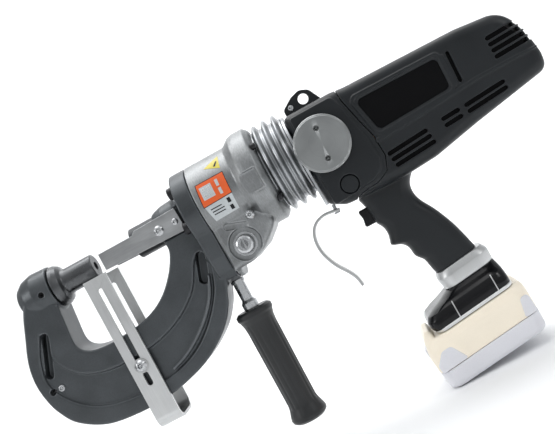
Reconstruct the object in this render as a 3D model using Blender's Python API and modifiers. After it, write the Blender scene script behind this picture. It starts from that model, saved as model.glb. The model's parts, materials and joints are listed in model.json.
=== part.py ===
"""Cordless electro-hydraulic C-frame hole puncher.

Lengths are millimetres until mm() turns them into metres. In the tool frame X runs along the ram
to the rear, Z is up, the left side is -Y, and the origin is the middle of the die's face. The
TOOL empty shifts that frame so that the world origin is the bottom centre of the whole tool.
"""
import math

import bmesh
import bpy
from mathutils import Matrix, Vector

# ---- Driving dimensions (mm) ----
GAP = 0.3                   # air between pieces that touch
TOOL_FRONT = -108.6         # front of the C-frame
TOOL_REAR = 481.0           # rear of the motor housing
TOOL_BOTTOM = -270.1        # lowest edge of the battery

FRAME_HALF = 20.5           # half the thickness of the C-frame
HEAD_R = 42.5               # frame head and cylinder block
HEAD_JOINT_X = 128.5        # face between the frame and the cylinder block
HEAD_FRONT_X = 111.0
DIE_R = 13.3
DIE_SEAT_X = -47.0
DIE_SHANK_R = 11.7
DIE_BOSS_R = 24.5
RAM_R = 16.0
RAM_FRONT_X = 47.7
PISTON_R = 29.5
CYLINDER_BORE_R = 30.0
PUNCH_R = 4.0
PUNCH_TIP_X = 13.0

STRIPPER_IN = 18.5          # inner face of a stripper bar, from the middle plane
STRIPPER_OUT = 24.5
GAUGE_OUT = 24.2            # outer face of a gauge leg
GAUGE_TOP_Z = -11.0
GAUGE_BOTTOM_Z = -175.5
GAUGE_MID_X = -0.4
GAUGE_HALF = 13.0
SLOT_HALF = 3.0
GAUGE_SCREW_Z = -110.0

COLLAR_R = 50.0
BARREL_FRONT_X = 203.6
BARREL_REAR_X = 236.2
FIN_R = 46.8
FIN_ROOT_R = 40.5
FIN_PITCH = 10.7
FINS = 3

PUMP_X = 262.8              # axis of the round end caps
PUMP_Z = -4.0               # axis of the eccentric shaft
CAP_R = 27.5
CAP_FACE_Y = 52.0
PUMP_BOSS_R = 25.3
KNOB_X = 151.5
KNOB_Z = -52.5
HANDLE_X = 121.4

GEAR_MODULE = 1.35
PINION_TEETH = 8
GEAR_TEETH = 20
MOTOR_Z = PUMP_Z - GEAR_MODULE * (PINION_TEETH + GEAR_TEETH) / 2

BODY_HALF = 39.0            # half the width of the motor housing
GRIP_HALF = 17.0            # half the width of the pistol grip
WALL = 3.0

BATTERY_TILT = math.radians(7.5)
BATTERY_X = 315.0           # origin of the battery's own tilted frame
BATTERY_Z = -240.0
BATTERY_HALF = 37.5


def mm(*values):
    """Millimetres to metres, as a Vector or a single number."""
    if len(values) == 1:
        return values[0] / 1000.0
    return Vector(values) / 1000.0


# ---- Scene, materials and bookkeeping ----
for old in list(bpy.data.objects):
    bpy.data.objects.remove(old, do_unlink=True)

PARTS = bpy.data.collections.new("hydraulic_hole_puncher")
CUTTERS = bpy.data.collections.new("cutters")
bpy.context.scene.collection.children.link(PARTS)
bpy.context.scene.collection.children.link(CUTTERS)


def principled(name, color, metallic, roughness):
    material = bpy.data.materials.new(name)
    material.use_nodes = True
    shader = material.node_tree.nodes["Principled BSDF"]
    shader.inputs["Base Color"].default_value = (*color, 1.0)
    shader.inputs["Metallic"].default_value = metallic
    shader.inputs["Roughness"].default_value = roughness
    return material


FINISH = {
    "casting_grey": ((0.060, 0.065, 0.070), 0.55, 0.42),
    "dark_steel": ((0.09, 0.095, 0.10), 0.85, 0.38),
    "black_screw": ((0.02, 0.02, 0.022), 0.70, 0.45),
    "bright_steel": ((0.50, 0.51, 0.52), 0.95, 0.32),
    "zinc_sheet": ((0.62, 0.63, 0.63), 0.90, 0.38),
    "cast_aluminium": ((0.55, 0.56, 0.57), 0.85, 0.45),
    "turned_aluminium": ((0.66, 0.67, 0.68), 0.95, 0.28),
    "bronze": ((0.45, 0.30, 0.12), 0.90, 0.35),
    "black_plastic": ((0.018, 0.020, 0.022), 0.0, 0.50),
    "gloss_black": ((0.010, 0.010, 0.011), 0.0, 0.15),
    "rubber": ((0.022, 0.022, 0.023), 0.0, 0.60),
    "cream_plastic": ((0.90, 0.84, 0.70), 0.0, 0.55),
    "grey_plastic": ((0.66, 0.66, 0.69), 0.0, 0.55),
    "copper": ((0.60, 0.28, 0.14), 0.90, 0.40),
    "cell_wrap": ((0.10, 0.26, 0.42), 0.0, 0.35),
    "nylon": ((0.75, 0.74, 0.70), 0.0, 0.50),
}


def empty(name, at=(0, 0, 0), parent=None, tilt=0.0):
    """An axis or frame that pieces hang on; tilt lifts its rear end, in radians."""
    guide = bpy.data.objects.new(name, None)
    guide.location = mm(*at)
    guide.rotation_euler = (0.0, -tilt, 0.0)
    guide.parent = parent
    PARTS.objects.link(guide)
    return guide


TOOL = empty("tool_frame", (-(TOOL_FRONT + TOOL_REAR) / 2, 0, -TOOL_BOTTOM))
RAM_AXIS = empty("ram_axis", parent=TOOL)
PUMP_AXIS = empty("pump_axis", (0, 0, PUMP_Z), TOOL)
MOTOR_AXIS = empty("motor_axis", (0, 0, MOTOR_Z), TOOL)
KNOB_AXIS = empty("knob_axis", (KNOB_X, 0, KNOB_Z), TOOL)
TRIGGER_AXIS = empty("trigger_axis", (268.0, 0, -86.5), TOOL)
GAUGE_AXIS = empty("gauge_axis", (GAUGE_MID_X, 0, 0), TOOL)
BATTERY_FRAME = empty("battery_frame", (BATTERY_X, 0, BATTERY_Z), TOOL, BATTERY_TILT)


def add_object(name, data, finish, at, rotation, parent):
    """Link a piece, or a cutter when finish is None, under its parent."""
    piece = bpy.data.objects.new(name, data)
    piece.location = mm(*at)
    piece.rotation_euler = rotation
    piece.parent = parent or TOOL
    if finish is None:
        CUTTERS.objects.link(piece)
        piece.hide_render = True
        piece.display_type = 'WIRE'
        return piece
    PARTS.objects.link(piece)
    piece.data.materials.append(principled(name, *FINISH[finish]))
    return piece


def smooth(piece, angle=30):
    piece.data.shade_smooth()
    piece.data.set_sharp_from_angle(angle=math.radians(angle))
    return piece


def bevel(piece, width, segments=2, angle=35):
    rounding = piece.modifiers.new("edges", 'BEVEL')
    rounding.width = mm(width)
    rounding.segments = segments
    rounding.limit_method = 'ANGLE'
    rounding.angle_limit = math.radians(angle)
    return piece


def boolean(piece, other, operation):
    step = piece.modifiers.new(other.name, 'BOOLEAN')
    step.object = other
    step.operation = operation
    step.solver = 'EXACT'
    return piece


def cut(piece, *others):
    for other in others:
        boolean(piece, other, 'DIFFERENCE')
    return piece


def join(piece, *others):
    for other in others:
        boolean(piece, other, 'UNION')
    return piece


# ---- Basic shapes ----
TURN = {'X': (0, math.pi / 2, 0), 'Z': (0, 0, 0),
        'Y': (-math.pi / 2, 0, 0), '-Y': (math.pi / 2, 0, 0)}
FLAT = {'X': (math.pi / 2, 0, math.pi / 2), 'Y': (math.pi / 2, 0, 0), 'Z': (0, 0, 0)}


def box(name, low, high, finish=None, parent=None):
    """A box between two corners given in its parent's frame."""
    size = [b - a for a, b in zip(low, high)]
    middle = [(a + b) / 2 for a, b in zip(low, high)]
    mesh = bpy.data.meshes.new(name)
    form = bmesh.new()
    bmesh.ops.create_cube(form, size=1.0, matrix=Matrix.Diagonal((*mm(*size), 1.0)))
    form.to_mesh(mesh)
    form.free()
    return add_object(name, mesh, finish, middle, (0, 0, 0), parent)


def rod(name, axis, start, end, radius, at=(0, 0, 0), finish=None, parent=None, sides=24):
    """A plain cylinder from start to end along an axis through the point at."""
    mesh = bpy.data.meshes.new(name)
    form = bmesh.new()
    bmesh.ops.create_cone(form, cap_ends=True, segments=sides, radius1=mm(radius),
                          radius2=mm(radius), depth=mm(abs(end - start)))
    form.to_mesh(mesh)
    form.free()
    place = list(at)
    direction = -1 if axis == '-Y' else 1
    place['XYZ'.index(axis[-1])] += direction * (start + end) / 2
    piece = add_object(name, mesh, finish, place, TURN[axis], parent)
    return smooth(piece)


def turned(name, axis, outer, bore=(), at=(0, 0, 0), finish=None, parent=None, steps=32):
    """A solid of revolution: outer and bore list (distance along the axis, radius) upwards."""
    if bore:
        ring = list(reversed(outer)) + list(bore)
    else:
        ring = [(outer[-1][0], 0.0)] + list(reversed(outer)) + [(outer[0][0], 0.0)]
    points = [mm(radius, 0, along) for along, radius in ring]
    edges = [(i, i + 1) for i in range(len(points) - 1)]
    if bore:
        edges.append((len(points) - 1, 0))
    mesh = bpy.data.meshes.new(name)
    mesh.from_pydata(points, edges, [])
    piece = add_object(name, mesh, finish, at, TURN[axis], parent)
    screw = piece.modifiers.new("turn", 'SCREW')
    screw.axis = 'Z'
    screw.steps = steps
    screw.render_steps = steps
    screw.use_merge_vertices = True
    screw.merge_threshold = 0.00001
    screw.use_smooth_shade = False
    return piece


def prism(name, outline, axis, start, end, holes=(), finish=None, parent=None, at=(0, 0, 0)):
    """An outline in the plane across an axis, extruded along it from start to end, as a mesh."""
    curve = bpy.data.curves.new(name, 'CURVE')
    curve.dimensions = '2D'
    curve.fill_mode = 'BOTH'
    curve.extrude = mm((end - start) / 2)
    curve.render_resolution_u = 0
    for ring in (outline, *holes):
        spline = curve.splines.new('POLY')
        spline.points.add(len(ring) - 1)
        for point, (a, b) in zip(spline.points, ring):
            point.co = (a / 1000.0, b / 1000.0, 0.0, 1.0)
        spline.use_cyclic_u = True
    place = list(at)
    place['XYZ'.index(axis)] += (start + end) / 2
    source = bpy.data.objects.new(name + "_outline", curve)
    bpy.context.scene.collection.objects.link(source)
    graph = bpy.context.evaluated_depsgraph_get()
    mesh = bpy.data.meshes.new_from_object(source.evaluated_get(graph))
    mesh.name = name
    bpy.data.objects.remove(source)
    form = bmesh.new()
    form.from_mesh(mesh)
    bmesh.ops.remove_doubles(form, verts=form.verts, dist=0.00001)
    bmesh.ops.dissolve_limit(form, angle_limit=math.radians(0.5), verts=form.verts,
                             edges=form.edges)
    bmesh.ops.recalc_face_normals(form, faces=form.faces)
    form.to_mesh(mesh)
    form.free()
    return add_object(name, mesh, finish, place, FLAT[axis], parent)


# ---- Outlines ----
def flow(points, per_span=4):
    """An open Catmull-Rom curve through the points."""
    last = len(points) - 1
    path = []
    for i in range(last):
        around = (points[max(i - 1, 0)], points[i], points[i + 1], points[min(i + 2, last)])
        for step in range(per_span):
            t = step / per_span
            path.append(tuple(
                0.5 * (2 * b + (c - a) * t + (2 * a - 5 * b + 4 * c - d) * t ** 2
                       + (3 * b - a - 3 * c + d) * t ** 3)
                for a, b, c, d in zip(*around)))
    path.append(tuple(points[-1]))
    return path


def arc(middle, radius, start, end, steps):
    """Points on a circle between two angles in degrees."""
    return [(middle[0] + radius * math.cos(math.radians(start + (end - start) * i / steps)),
             middle[1] + radius * math.sin(math.radians(start + (end - start) * i / steps)))
            for i in range(steps + 1)]


def filleted(corners, steps=3):
    """A closed outline from (a, b, radius) corners, each rounded by its radius."""
    path = []
    count = len(corners)
    for i, (a, b, radius) in enumerate(corners):
        here = Vector((a, b))
        to_last = (Vector(corners[i - 1][:2]) - here).normalized()
        to_next = (Vector(corners[(i + 1) % count][:2]) - here).normalized()
        half = to_last.angle(to_next) / 2
        if radius == 0 or half > math.radians(89):
            path.append((a, b))
            continue
        back = radius / math.tan(half)
        middle = here + (to_last + to_next).normalized() * radius / math.sin(half)
        first = here + to_last * back - middle
        last = here + to_next * back - middle
        for k in range(steps + 1):
            spoke = first.lerp(last, k / steps).normalized() * radius
            path.append(tuple(middle + spoke))
    return path


def capsule(start, end, radius, steps=5):
    """A slot's outline: two half circles round its end points."""
    heading = math.degrees(math.atan2(end[1] - start[1], end[0] - start[0]))
    return (arc(end, radius, heading - 90, heading + 90, steps)
            + arc(start, radius, heading + 90, heading + 270, steps))


def strip(points, thickness):
    """The closed outline of a bent strip from its centre line."""
    sides = ([], [])
    for i, point in enumerate(points):
        ahead = Vector(points[min(i + 1, len(points) - 1)])
        behind = Vector(points[max(i - 1, 0)])
        along = (ahead - behind).normalized()
        across = Vector((-along.y, along.x)) * thickness / 2
        sides[0].append(tuple(Vector(point) + across))
        sides[1].append(tuple(Vector(point) - across))
    return sides[0] + sides[1][::-1]


def gear_outline(teeth, module, turn=0.0, clearance=0.08):
    """Straight-flanked teeth with a little backlash; turn is in tooth pitches."""
    pitch_r = module * teeth / 2
    root, tip = pitch_r - 1.2 * module, pitch_r + 0.9 * module
    pitch = 2 * math.pi / teeth
    outline = []
    for tooth in range(teeth):
        middle = (tooth + turn) * pitch
        for radius, half in ((root, 0.36), (tip, 0.13 - clearance / 4),
                             (tip, -0.13 + clearance / 4), (root, -0.36)):
            spoke = middle - half * pitch
            outline.append((radius * math.cos(spoke), radius * math.sin(spoke)))
    return outline


def coil(name, axis_at, start, end, radius, wire, turns, finish, per_turn=10):
    """A compression spring along X, as a bevelled curve."""
    curve = bpy.data.curves.new(name, 'CURVE')
    curve.dimensions = '3D'
    curve.bevel_depth = mm(wire)
    curve.bevel_resolution = 1
    curve.use_fill_caps = True
    curve.render_resolution_u = 0
    spline = curve.splines.new('POLY')
    count = int(turns * per_turn)
    spline.points.add(count)
    for i, point in enumerate(spline.points):
        spin = 2 * math.pi * i / per_turn
        along = start + wire + (end - start - 2 * wire) * i / count
        point.co = (*mm(along, radius * math.cos(spin), radius * math.sin(spin)), 1.0)
    return add_object(name, curve, finish, axis_at, (0, 0, 0), None)


def cap_screw(name, axis, at, head_r, head_h, shank_r, shank_l, finish, sides=12):
    """A screw whose head stands proud along the axis; at is the face under its head."""
    profile = [(-shank_l, shank_r), (0, shank_r), (0, head_r), (head_h, head_r)]
    screw = turned(name, axis, profile, at=at, finish=finish, steps=sides)
    socket = rod(name + "_socket", axis, head_h * 0.45, head_h + 1, head_r * 0.48, at, sides=6)
    return cut(screw, socket)


# ---- The C-frame ----
FRAME_OUTER = [(-80, 0), (-87.5, -13.5), (-96, -33), (-102.5, -48), (-107, -63), (-108.6, -80),
               (-106.5, -97), (-101, -113.5), (-88.5, -131.5), (-62, -146.7), (-28.5, -151.7),
               (5, -151), (36, -145), (63.5, -135), (89, -118), (104.5, -99.5), (111, -86)]
FRAME_INNER = [(78.5, -14), (77.8, -25), (66.5, -43), (48, -60.5), (25, -71), (-8, -76),
               (-33, -75), (-46, -70), (-52, -60), (-50.5, -38), (-48.3, -16)]
RECESS_OUTER = [(-80, -34), (-91, -57), (-97, -78), (-92.5, -95), (-78, -113.5), (-58, -126.5),
                (-30, -133.5), (5, -134.5), (36, -129.5), (62, -118), (84, -99), (101, -76),
                (110, -50)]
RECESS_INNER = [(105, -38), (96, -44), (82, -66.5), (60, -84), (32, -95.5), (0, -100.5),
                (-32, -99.5), (-57, -92), (-72, -78), (-80, -62), (-73, -44), (-72, -35)]
HEAD_FOOT = [(-30, -52), (-24, -68), (-18, -76), (-8, -80), (8, -80), (18, -76), (24, -68),
             (30, -52)]


def c_frame():
    joint = HEAD_JOINT_X - 4
    outline = flow(FRAME_OUTER, 2) + [(116, -75), (joint, -73), (joint, 0), (84, 0)]
    outline += flow(FRAME_INNER, 2)
    frame = prism("c_frame", outline, 'Y', -FRAME_HALF, FRAME_HALF, finish="casting_grey")
    bevel(frame, 2.5, 1, 40)
    die_boss = turned("die_boss", 'X', [
        (-87, 11.5), (-84.5, 16.0), (-77, 21.5), (-68, DIE_BOSS_R), (DIE_SEAT_X, 23.5)],
        steps=28)
    ram_boss = turned("ram_boss", 'X', [
        (76, 17.5), (81, 19.5), (88, 21.4), (101, 22.4), (106, 25), (HEAD_JOINT_X - 5, 25)],
        steps=28)
    head = prism("frame_head", arc((0, 0), HEAD_R, -38, 218, 20) + HEAD_FOOT, 'X',
                 HEAD_FRONT_X, HEAD_JOINT_X)
    bevel(head, 2.5, 1, 40)
    join(frame, die_boss, ram_boss, head)
    recess = flow(RECESS_OUTER, 2) + flow(RECESS_INNER, 2)
    for side in (-1, 1):
        tag = "left" if side < 0 else "right"
        face = side * FRAME_HALF
        low, high = sorted((face - side * 4.0, face + side * 3.0))
        deep_low, deep_high = sorted((face - side * 9.0, face + side * 3.0))
        cut(frame,
            prism("web_recess_" + tag, recess, 'Y', low, high),
            prism("front_pocket_" + tag, capsule((-77, -41), (-92, -75), 4.6), 'Y',
                  deep_low, deep_high),
            prism("rear_pocket_" + tag, capsule((103, -46), (94.5, -62), 5.0), 'Y',
                  deep_low, deep_high),
            box("stripper_seat_" + tag, (70, min(side * STRIPPER_IN, side * 40), -13.5),
                (107.5, max(side * STRIPPER_IN, side * 40), 13.5)))
    cut(frame,
        rod("die_bore", 'X', -79, -40, DIE_SHANK_R + GAP, sides=24),
        rod("slug_hole", 'X', -95, -75, 9.0),
        rod("ram_bore", 'X', 60, 140, RAM_R + 0.25, sides=28),
        rod("die_screw_hole", '-Y', 12, 30, 3.2, (-57, 0, -0.7), sides=12),
        rod("lug_hole", 'Y', -30, 30, 3.0, (-96, 0, -93), sides=12),
        rod("gauge_screw_hole", 'Y', -30, 30, 3.0, (GAUGE_MID_X, 0, GAUGE_SCREW_Z), sides=12),
        rod("handle_hole", 'Z', -90, -64, 4.9, (HANDLE_X, 0, 0), sides=16))
    for spot, (y, z) in enumerate(head_bolt_places()):
        cut(frame, rod(f"head_bolt_hole_{spot}", 'X', 100, 140, 4.2, (0, y, z), sides=12))
    return frame


def head_bolt_places():
    """The bolts stand round the ram, clear of the C-frame's web."""
    return [(33.0 * math.sin(math.radians(a)), 33.0 * math.cos(math.radians(a)))
            for a in (-112, -40, 40, 112)]


def head_bolts():
    for number, (y, z) in enumerate(head_bolt_places(), 1):
        bolt = turned(f"head_bolt_{number}", 'X',
                      [(0, 5.2), (1, 6.2), (5.5, 6.2), (5.5, 3.9), (30, 3.9)],
                      at=(HEAD_FRONT_X - 5.5 - GAP, y, z), finish="black_screw", steps=16)
        cut(bolt, rod(f"bolt_socket_{number}", 'X', -1, 3.5, 3.2,
                      (HEAD_FRONT_X - 5.5 - GAP, y, z), sides=6))


# ---- Die, punch, ram and strippers ----
def die():
    foot = [(-76, DIE_SHANK_R), (DIE_SEAT_X + GAP, DIE_SHANK_R), (DIE_SEAT_X + GAP, 22.0),
            (-42, 22.0), (-37, 19.5), (-30, 15.4), (-22, DIE_R), (-1, DIE_R), (0, DIE_R - 1)]
    die_hole = [(-76, 6.2), (-14, 6.2), (-14, 4.3), (0, 4.3)]
    turned("die", 'X', foot, die_hole, finish="dark_steel", steps=28)
    screw = rod("die_set_screw", '-Y', 12.2, 22, 2.8, (-57, 0, -0.7), "black_screw", sides=12)
    cut(screw, rod("die_screw_socket", '-Y', 19.5, 23, 1.5, (-57, 0, -0.7), sides=6))


def ram_group():
    ram = turned("ram", 'X', [
        (RAM_FRONT_X, RAM_R - 1), (RAM_FRONT_X + 1, RAM_R), (172, RAM_R), (172, PISTON_R),
        (178.6, PISTON_R), (178.6, 26.0), (183.4, 26.0), (183.4, PISTON_R), (194, PISTON_R)],
        finish="dark_steel", parent=RAM_AXIS, steps=28)
    cut(ram,
        rod("punch_socket", 'X', RAM_FRONT_X - 5, 72, 7.0, parent=RAM_AXIS),
        rod("punch_screw_hole", 'Z', 5, 20, 2.8, (60, 0, 0), parent=RAM_AXIS, sides=12))
    turned("piston_seal", 'X', [(178.9, 29.8), (183.1, 29.8)], [(178.9, 26.3), (183.1, 26.3)],
           finish="rubber", parent=RAM_AXIS, steps=24)
    turned("punch", 'X', [
        (PUNCH_TIP_X, PUNCH_R), (39.5, PUNCH_R), (45, 6.7), (71.7, 6.7)],
        finish="bright_steel", parent=RAM_AXIS, steps=16)
    screw = rod("punch_set_screw", 'Z', 7.0, 14.5, 2.5, (60, 0, 0), "black_screw", RAM_AXIS, 12)
    cut(screw, rod("punch_screw_socket", 'Z', 12, 16, 1.4, (60, 0, 0), parent=RAM_AXIS, sides=6))
    coil("return_spring", (0, 0, 0), 142, 171.6, 23.5, 1.6, 3.3, "bright_steel", 10)
    turned("rod_bush", 'X', [(129.2, 18.6), (140.6, 18.6)],
           [(129.2, RAM_R + 0.25), (140.6, RAM_R + 0.25)], finish="bronze", steps=28)


STRIPPER_OUTLINE = [(14.6, -10, 1.0), (50, -11, 8), (105.5, -12.6, 1.5), (104.5, 12, 1.5),
                    (57.5, 10.8, 1.0), (54, 7.6, 2.0), (14.6, 7.6, 1.0)]


def strippers():
    for side in (-1, 1):
        tag = "left" if side < 0 else "right"
        low, high = sorted((side * STRIPPER_IN, side * STRIPPER_OUT))
        bar = prism("stripper_" + tag, filleted(STRIPPER_OUTLINE, 2), 'Y',
                    low + (GAP if side > 0 else 0), high - (GAP if side < 0 else 0),
                    finish="bright_steel")
        foot_low, foot_high = sorted((side * 5.5, side * (STRIPPER_OUT - 2)))
        join(bar, box("stripper_foot_" + tag, (14.6, foot_low, -8), (20.5, foot_high, 5.6)))
        axis = '-Y' if side < 0 else 'Y'
        for size, x, z, head_r, head_h, shank in (("large", 80.5, -0.8, 5.2, 2.6, 3.0),
                                                  ("small", 99.0, -0.4, 3.4, 1.4, 2.0)):
            cut(bar, rod(f"bar_hole_{size}_{tag}", axis, 15, 30, shank + GAP, (x, 0, z),
                         sides=12))
            cap_screw(f"stripper_screw_{size}_{tag}", axis,
                      (x, side * (STRIPPER_OUT + GAP), z), head_r, head_h, shank,
                      STRIPPER_OUT - STRIPPER_IN - 0.4, "bright_steel")


def gauge():
    centre = [(-GAUGE_OUT + 1.45, GAUGE_TOP_Z), (-GAUGE_OUT + 1.45, -162)]
    bend = arc((-GAUGE_OUT + 11.45, GAUGE_BOTTOM_Z + 11.45), 10, 180, 270, 4)
    other = [(-y, z) for y, z in reversed(bend)]
    path = centre + bend + other + [(GAUGE_OUT - 1.45, -162), (GAUGE_OUT - 1.45, GAUGE_TOP_Z)]
    strap = prism("gauge", strip(path, 2.9), 'X', GAUGE_MID_X - GAUGE_HALF,
                  GAUGE_MID_X + GAUGE_HALF, finish="zinc_sheet", parent=GAUGE_AXIS,
                  at=(-GAUGE_MID_X, 0, 0))
    for number, (top, bottom) in enumerate(((-26, GAUGE_SCREW_Z), (-120, -129)), 1):
        slot = capsule((0, top), (0, bottom), SLOT_HALF)
        cut(strap, prism(f"gauge_slot_{number}", slot, 'Y', -40, 40, parent=GAUGE_AXIS))
    for side, tag in ((-1, "left"), (1, "right")):
        cap_screw("gauge_screw_" + tag, '-Y' if side < 0 else 'Y',
                  (GAUGE_MID_X, side * (GAUGE_OUT + GAP), GAUGE_SCREW_Z),
                  6.5, 3.6, 2.6, 14, "bright_steel")


# ---- Cylinder block, barrel and pump ----
LOBE_OUTLINE = [(120, -24, 0), (120, -76, 0), (133, -76, 2), (136.5, -70.5, 2), (151, -71, 8),
                (168, -64, 8), (181, -53, 6), (187, -46, 0), (187, -24, 0)]


def cylinder_block():
    block = turned("cylinder_block", 'X', [
        (HEAD_JOINT_X - 4, HEAD_R), (174, HEAD_R), (181, 48.5), (186, COLLAR_R),
        (198, COLLAR_R), (202, 46.5), (BARREL_FRONT_X - GAP, 42)],
        finish="cast_aluminium", steps=32)
    foot = prism("block_foot", arc((0, 0), HEAD_R - 1, -38, 218, 20) + HEAD_FOOT, 'X',
                 HEAD_JOINT_X - 6, HEAD_JOINT_X + 6)
    lobe = bevel(prism("block_lobe", filleted(LOBE_OUTLINE, 2), 'Y', -33, 33), 4, 1)
    trim = box("block_trim", (90, -60, -100), (HEAD_JOINT_X + GAP, 60, 60))
    join(block, foot, lobe)
    cut(block, trim,
        rod("cylinder_bore", 'X', 141, 230, CYLINDER_BORE_R, sides=28),
        rod("bush_bore", 'X', 110, 150, 18.9, sides=28),
        rod("knob_recess", '-Y', 30, 40, 17.0, (KNOB_X, 0, KNOB_Z), sides=20),
        rod("knob_bore", '-Y', 16, 40, 5.3, (KNOB_X, 0, KNOB_Z), sides=16),
        rod("plug_bore", '-Y', 31, 60, 3.3, (170, 0, -30), sides=12))
    for spot, (y, z) in enumerate(head_bolt_places()):
        cut(block, rod(f"block_bolt_hole_{spot}", 'X', 120, 137, 4.2, (0, y, z), sides=12))
    knob = turned("release_knob", '-Y', [
        (17, 5.0), (31.5, 5.0), (31.5, 8.6), (39, 8.6), (40.5, 7.2)],
        finish="cast_aluminium", parent=KNOB_AXIS, steps=16)
    cut(knob, box("knob_slot", (-1.0, -42, -6), (1.0, -38.5, 6), parent=KNOB_AXIS))
    cap_screw("oil_screw", '-Y', (170, -41.5, -30), 4.6, 3, 3.0, 9, "bright_steel")


def finned_barrel():
    shape = [(BARREL_FRONT_X, FIN_ROOT_R)]
    for fin in range(FINS):
        tip = BARREL_FRONT_X + 5.4 + fin * FIN_PITCH
        shape += [(tip - 3.4, FIN_ROOT_R), (tip - 0.9, FIN_R), (tip + 0.9, FIN_R),
                  (tip + 3.4, FIN_ROOT_R)]
    shape.append((BARREL_REAR_X, FIN_ROOT_R))
    bore = [(BARREL_FRONT_X, 12), (BARREL_FRONT_X + 4, 12), (BARREL_FRONT_X + 4, 30),
            (BARREL_REAR_X, 30)]
    turned("finned_barrel", 'X', shape, bore, finish="turned_aluminium", steps=32)
    turned("oil_bladder", 'X', [
        (209, 28.5), (234, 28.5)], [(209, 8), (211, 8), (211, 26.5), (234, 26.5)],
        finish="rubber", steps=20)


def pump():
    plate = prism("pump_flange", (arc((0, 0), 40, -55, 235, 20)
                                  + [(-12, -50), (-9, -57.5), (9, -57.5), (12, -50)]),
                  'X', BARREL_REAR_X + GAP, 239.6, finish="turned_aluminium")
    cut(plate, rod("flange_bore", 'X', 230, 245, 20))
    body = rod("pump_body", 'X', 240.6, 286, 32, (0, 0, PUMP_Z), "cast_aluminium", sides=28)
    cross = rod("pump_cross", 'Y', -47, 47, PUMP_BOSS_R, (PUMP_X, 0, PUMP_Z), sides=32)
    join(body, cross)
    cut(body,
        box("pump_trim", (220, -60, -60), (240.3, 60, 60)),
        rod("crank_chamber", 'X', 247, 300, 16, (0, 0, PUMP_Z), sides=20),
        rod("plunger_bore", 'Y', -60, 60, 5.3, (PUMP_X, 0, PUMP_Z), sides=16))
    for side, tag, axis in ((-1, "left", '-Y'), (1, "right", 'Y')):
        centre = (PUMP_X, 0, PUMP_Z)
        cut(body, rod("cap_thread_" + tag, axis, 37, 60, 21.9, centre, sides=28))
        cap = turned("end_cap_" + tag, axis, [
            (38.5, 21.5), (47.3, 21.5), (47.3, CAP_R), (51.0, CAP_R), (CAP_FACE_Y, CAP_R - 1)],
            at=centre, finish="turned_aluminium", steps=36)
        for turn, hand in ((1, "upper"), (-1, "lower")):
            spot = (PUMP_X + turn * 1.6, 0, PUMP_Z + turn * 15)
            cut(cap, rod(f"spanner_hole_{hand}_{tag}", axis, 48.5, 55, 2.3, spot, sides=8))
        rod("plunger_" + tag, axis, 11.4, 34, 5.0, centre, "bright_steel", sides=12)
    shaft = turned("eccentric_shaft", 'X', [(249, 5), (306, 5)], finish="dark_steel",
                   parent=PUMP_AXIS, steps=16)
    join(shaft, rod("eccentric", 'X', 256, 269, 9, (0, -2, 0), parent=PUMP_AXIS))
    prism("drive_gear", gear_outline(GEAR_TEETH, GEAR_MODULE, 0.5), 'X', 290, 299,
          [arc((0, 0), 5.3, 0, 330, 11)], "dark_steel", PUMP_AXIS)


# ---- Motor ----
def motor():
    armature = turned("armature", 'X', [
        (302, 4), (345, 4), (345, 14), (405, 14), (405, 4), (410, 4), (410, 8), (423, 8),
        (423, 4), (452, 4)], finish="copper", parent=MOTOR_AXIS, steps=16)
    teeth = prism("pinion_teeth", gear_outline(PINION_TEETH, GEAR_MODULE), 'X', 289, 303,
                  parent=MOTOR_AXIS)
    join(armature, teeth)
    turned("motor_stator", 'X', [(341, 24), (411, 24)], [(341, 15.2), (411, 15.2)],
           at=(0, 0, MOTOR_Z), finish="dark_steel", steps=24)
    blades = []
    for blade in range(9):
        spin = blade * 40
        blades += arc((0, 0), 8, spin, spin + 18, 1) + arc((0, 0), 21, spin + 26, spin + 38, 2)
    prism("cooling_fan", blades, 'X', 427, 436, [arc((0, 0), 4.3, 0, 330, 11)], "nylon",
          MOTOR_AXIS)
    for tag, start, end, outer in (("front", 314, 322, 11), ("rear", 440, 447, 9)):
        turned("armature_bearing_" + tag, 'X', [(start, outer), (end, outer)],
               [(start, 4.3), (end, 4.3)], at=(0, 0, MOTOR_Z), finish="bright_steel", steps=16)


# ---- Housings and grip ----
BODY_OUTLINE = [(240, 28, 3), (243, 36.0, 5), (290, 36.0, 30), (305, 34.2, 30), (420, 31.4, 60),
                (463, 26.4, 22), (476.5, 4, 30), (481, -26, 10), (479, -41.5, 9),
                (400, -55.8, 40), (352, -65.8, 20), (318, -68.2, 10), (256, -66, 4),
                (248, -60, 4), (240, -57.5, 1)]
GRIP_REAR = [(338, -58), (326, -68), (319, -77), (317.5, -86), (320, -96), (329, -112),
             (337, -131), (342, -148), (345, -161.3)]
GRIP_FRONT = [(301.3, -166.9), (298, -160), (296, -150.5), (290, -143), (288.5, -134),
              (284, -126), (277, -123.6), (274, -122), (276.5, -112), (275, -101),
              (271, -95), (270, -84), (268, -72), (262, -60)]
SEAM = [(293.5, 60), (297, 22), (303, -3), (308, -20), (309, -42), (304, -55), (292, -61),
        (278, -62), (268, -64.6), (262, -80)]


BODY_CAVITY = [(232, 26, 0), (245, 32.8, 2), (290, 32.8, 30), (305, 30.4, 30), (420, 27.2, 60),
               (461, 22.5, 19), (473, 2, 27), (477.8, -25, 7), (476, -38, 6),
               (400, -51.6, 40), (352, -62.2, 17), (318, -65, 7), (257, -63, 2),
               (250, -57.5, 3), (232, -54.5, 0)]
GRIP_CAVITY = [(274, -55), (328, -55), (321, -68), (314, -79), (314.5, -92), (325, -112),
               (338, -146), (343, -165), (305, -170), (300.5, -152), (293, -139), (286, -128),
               (279.5, -120), (279.5, -108), (274, -92)]


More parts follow.
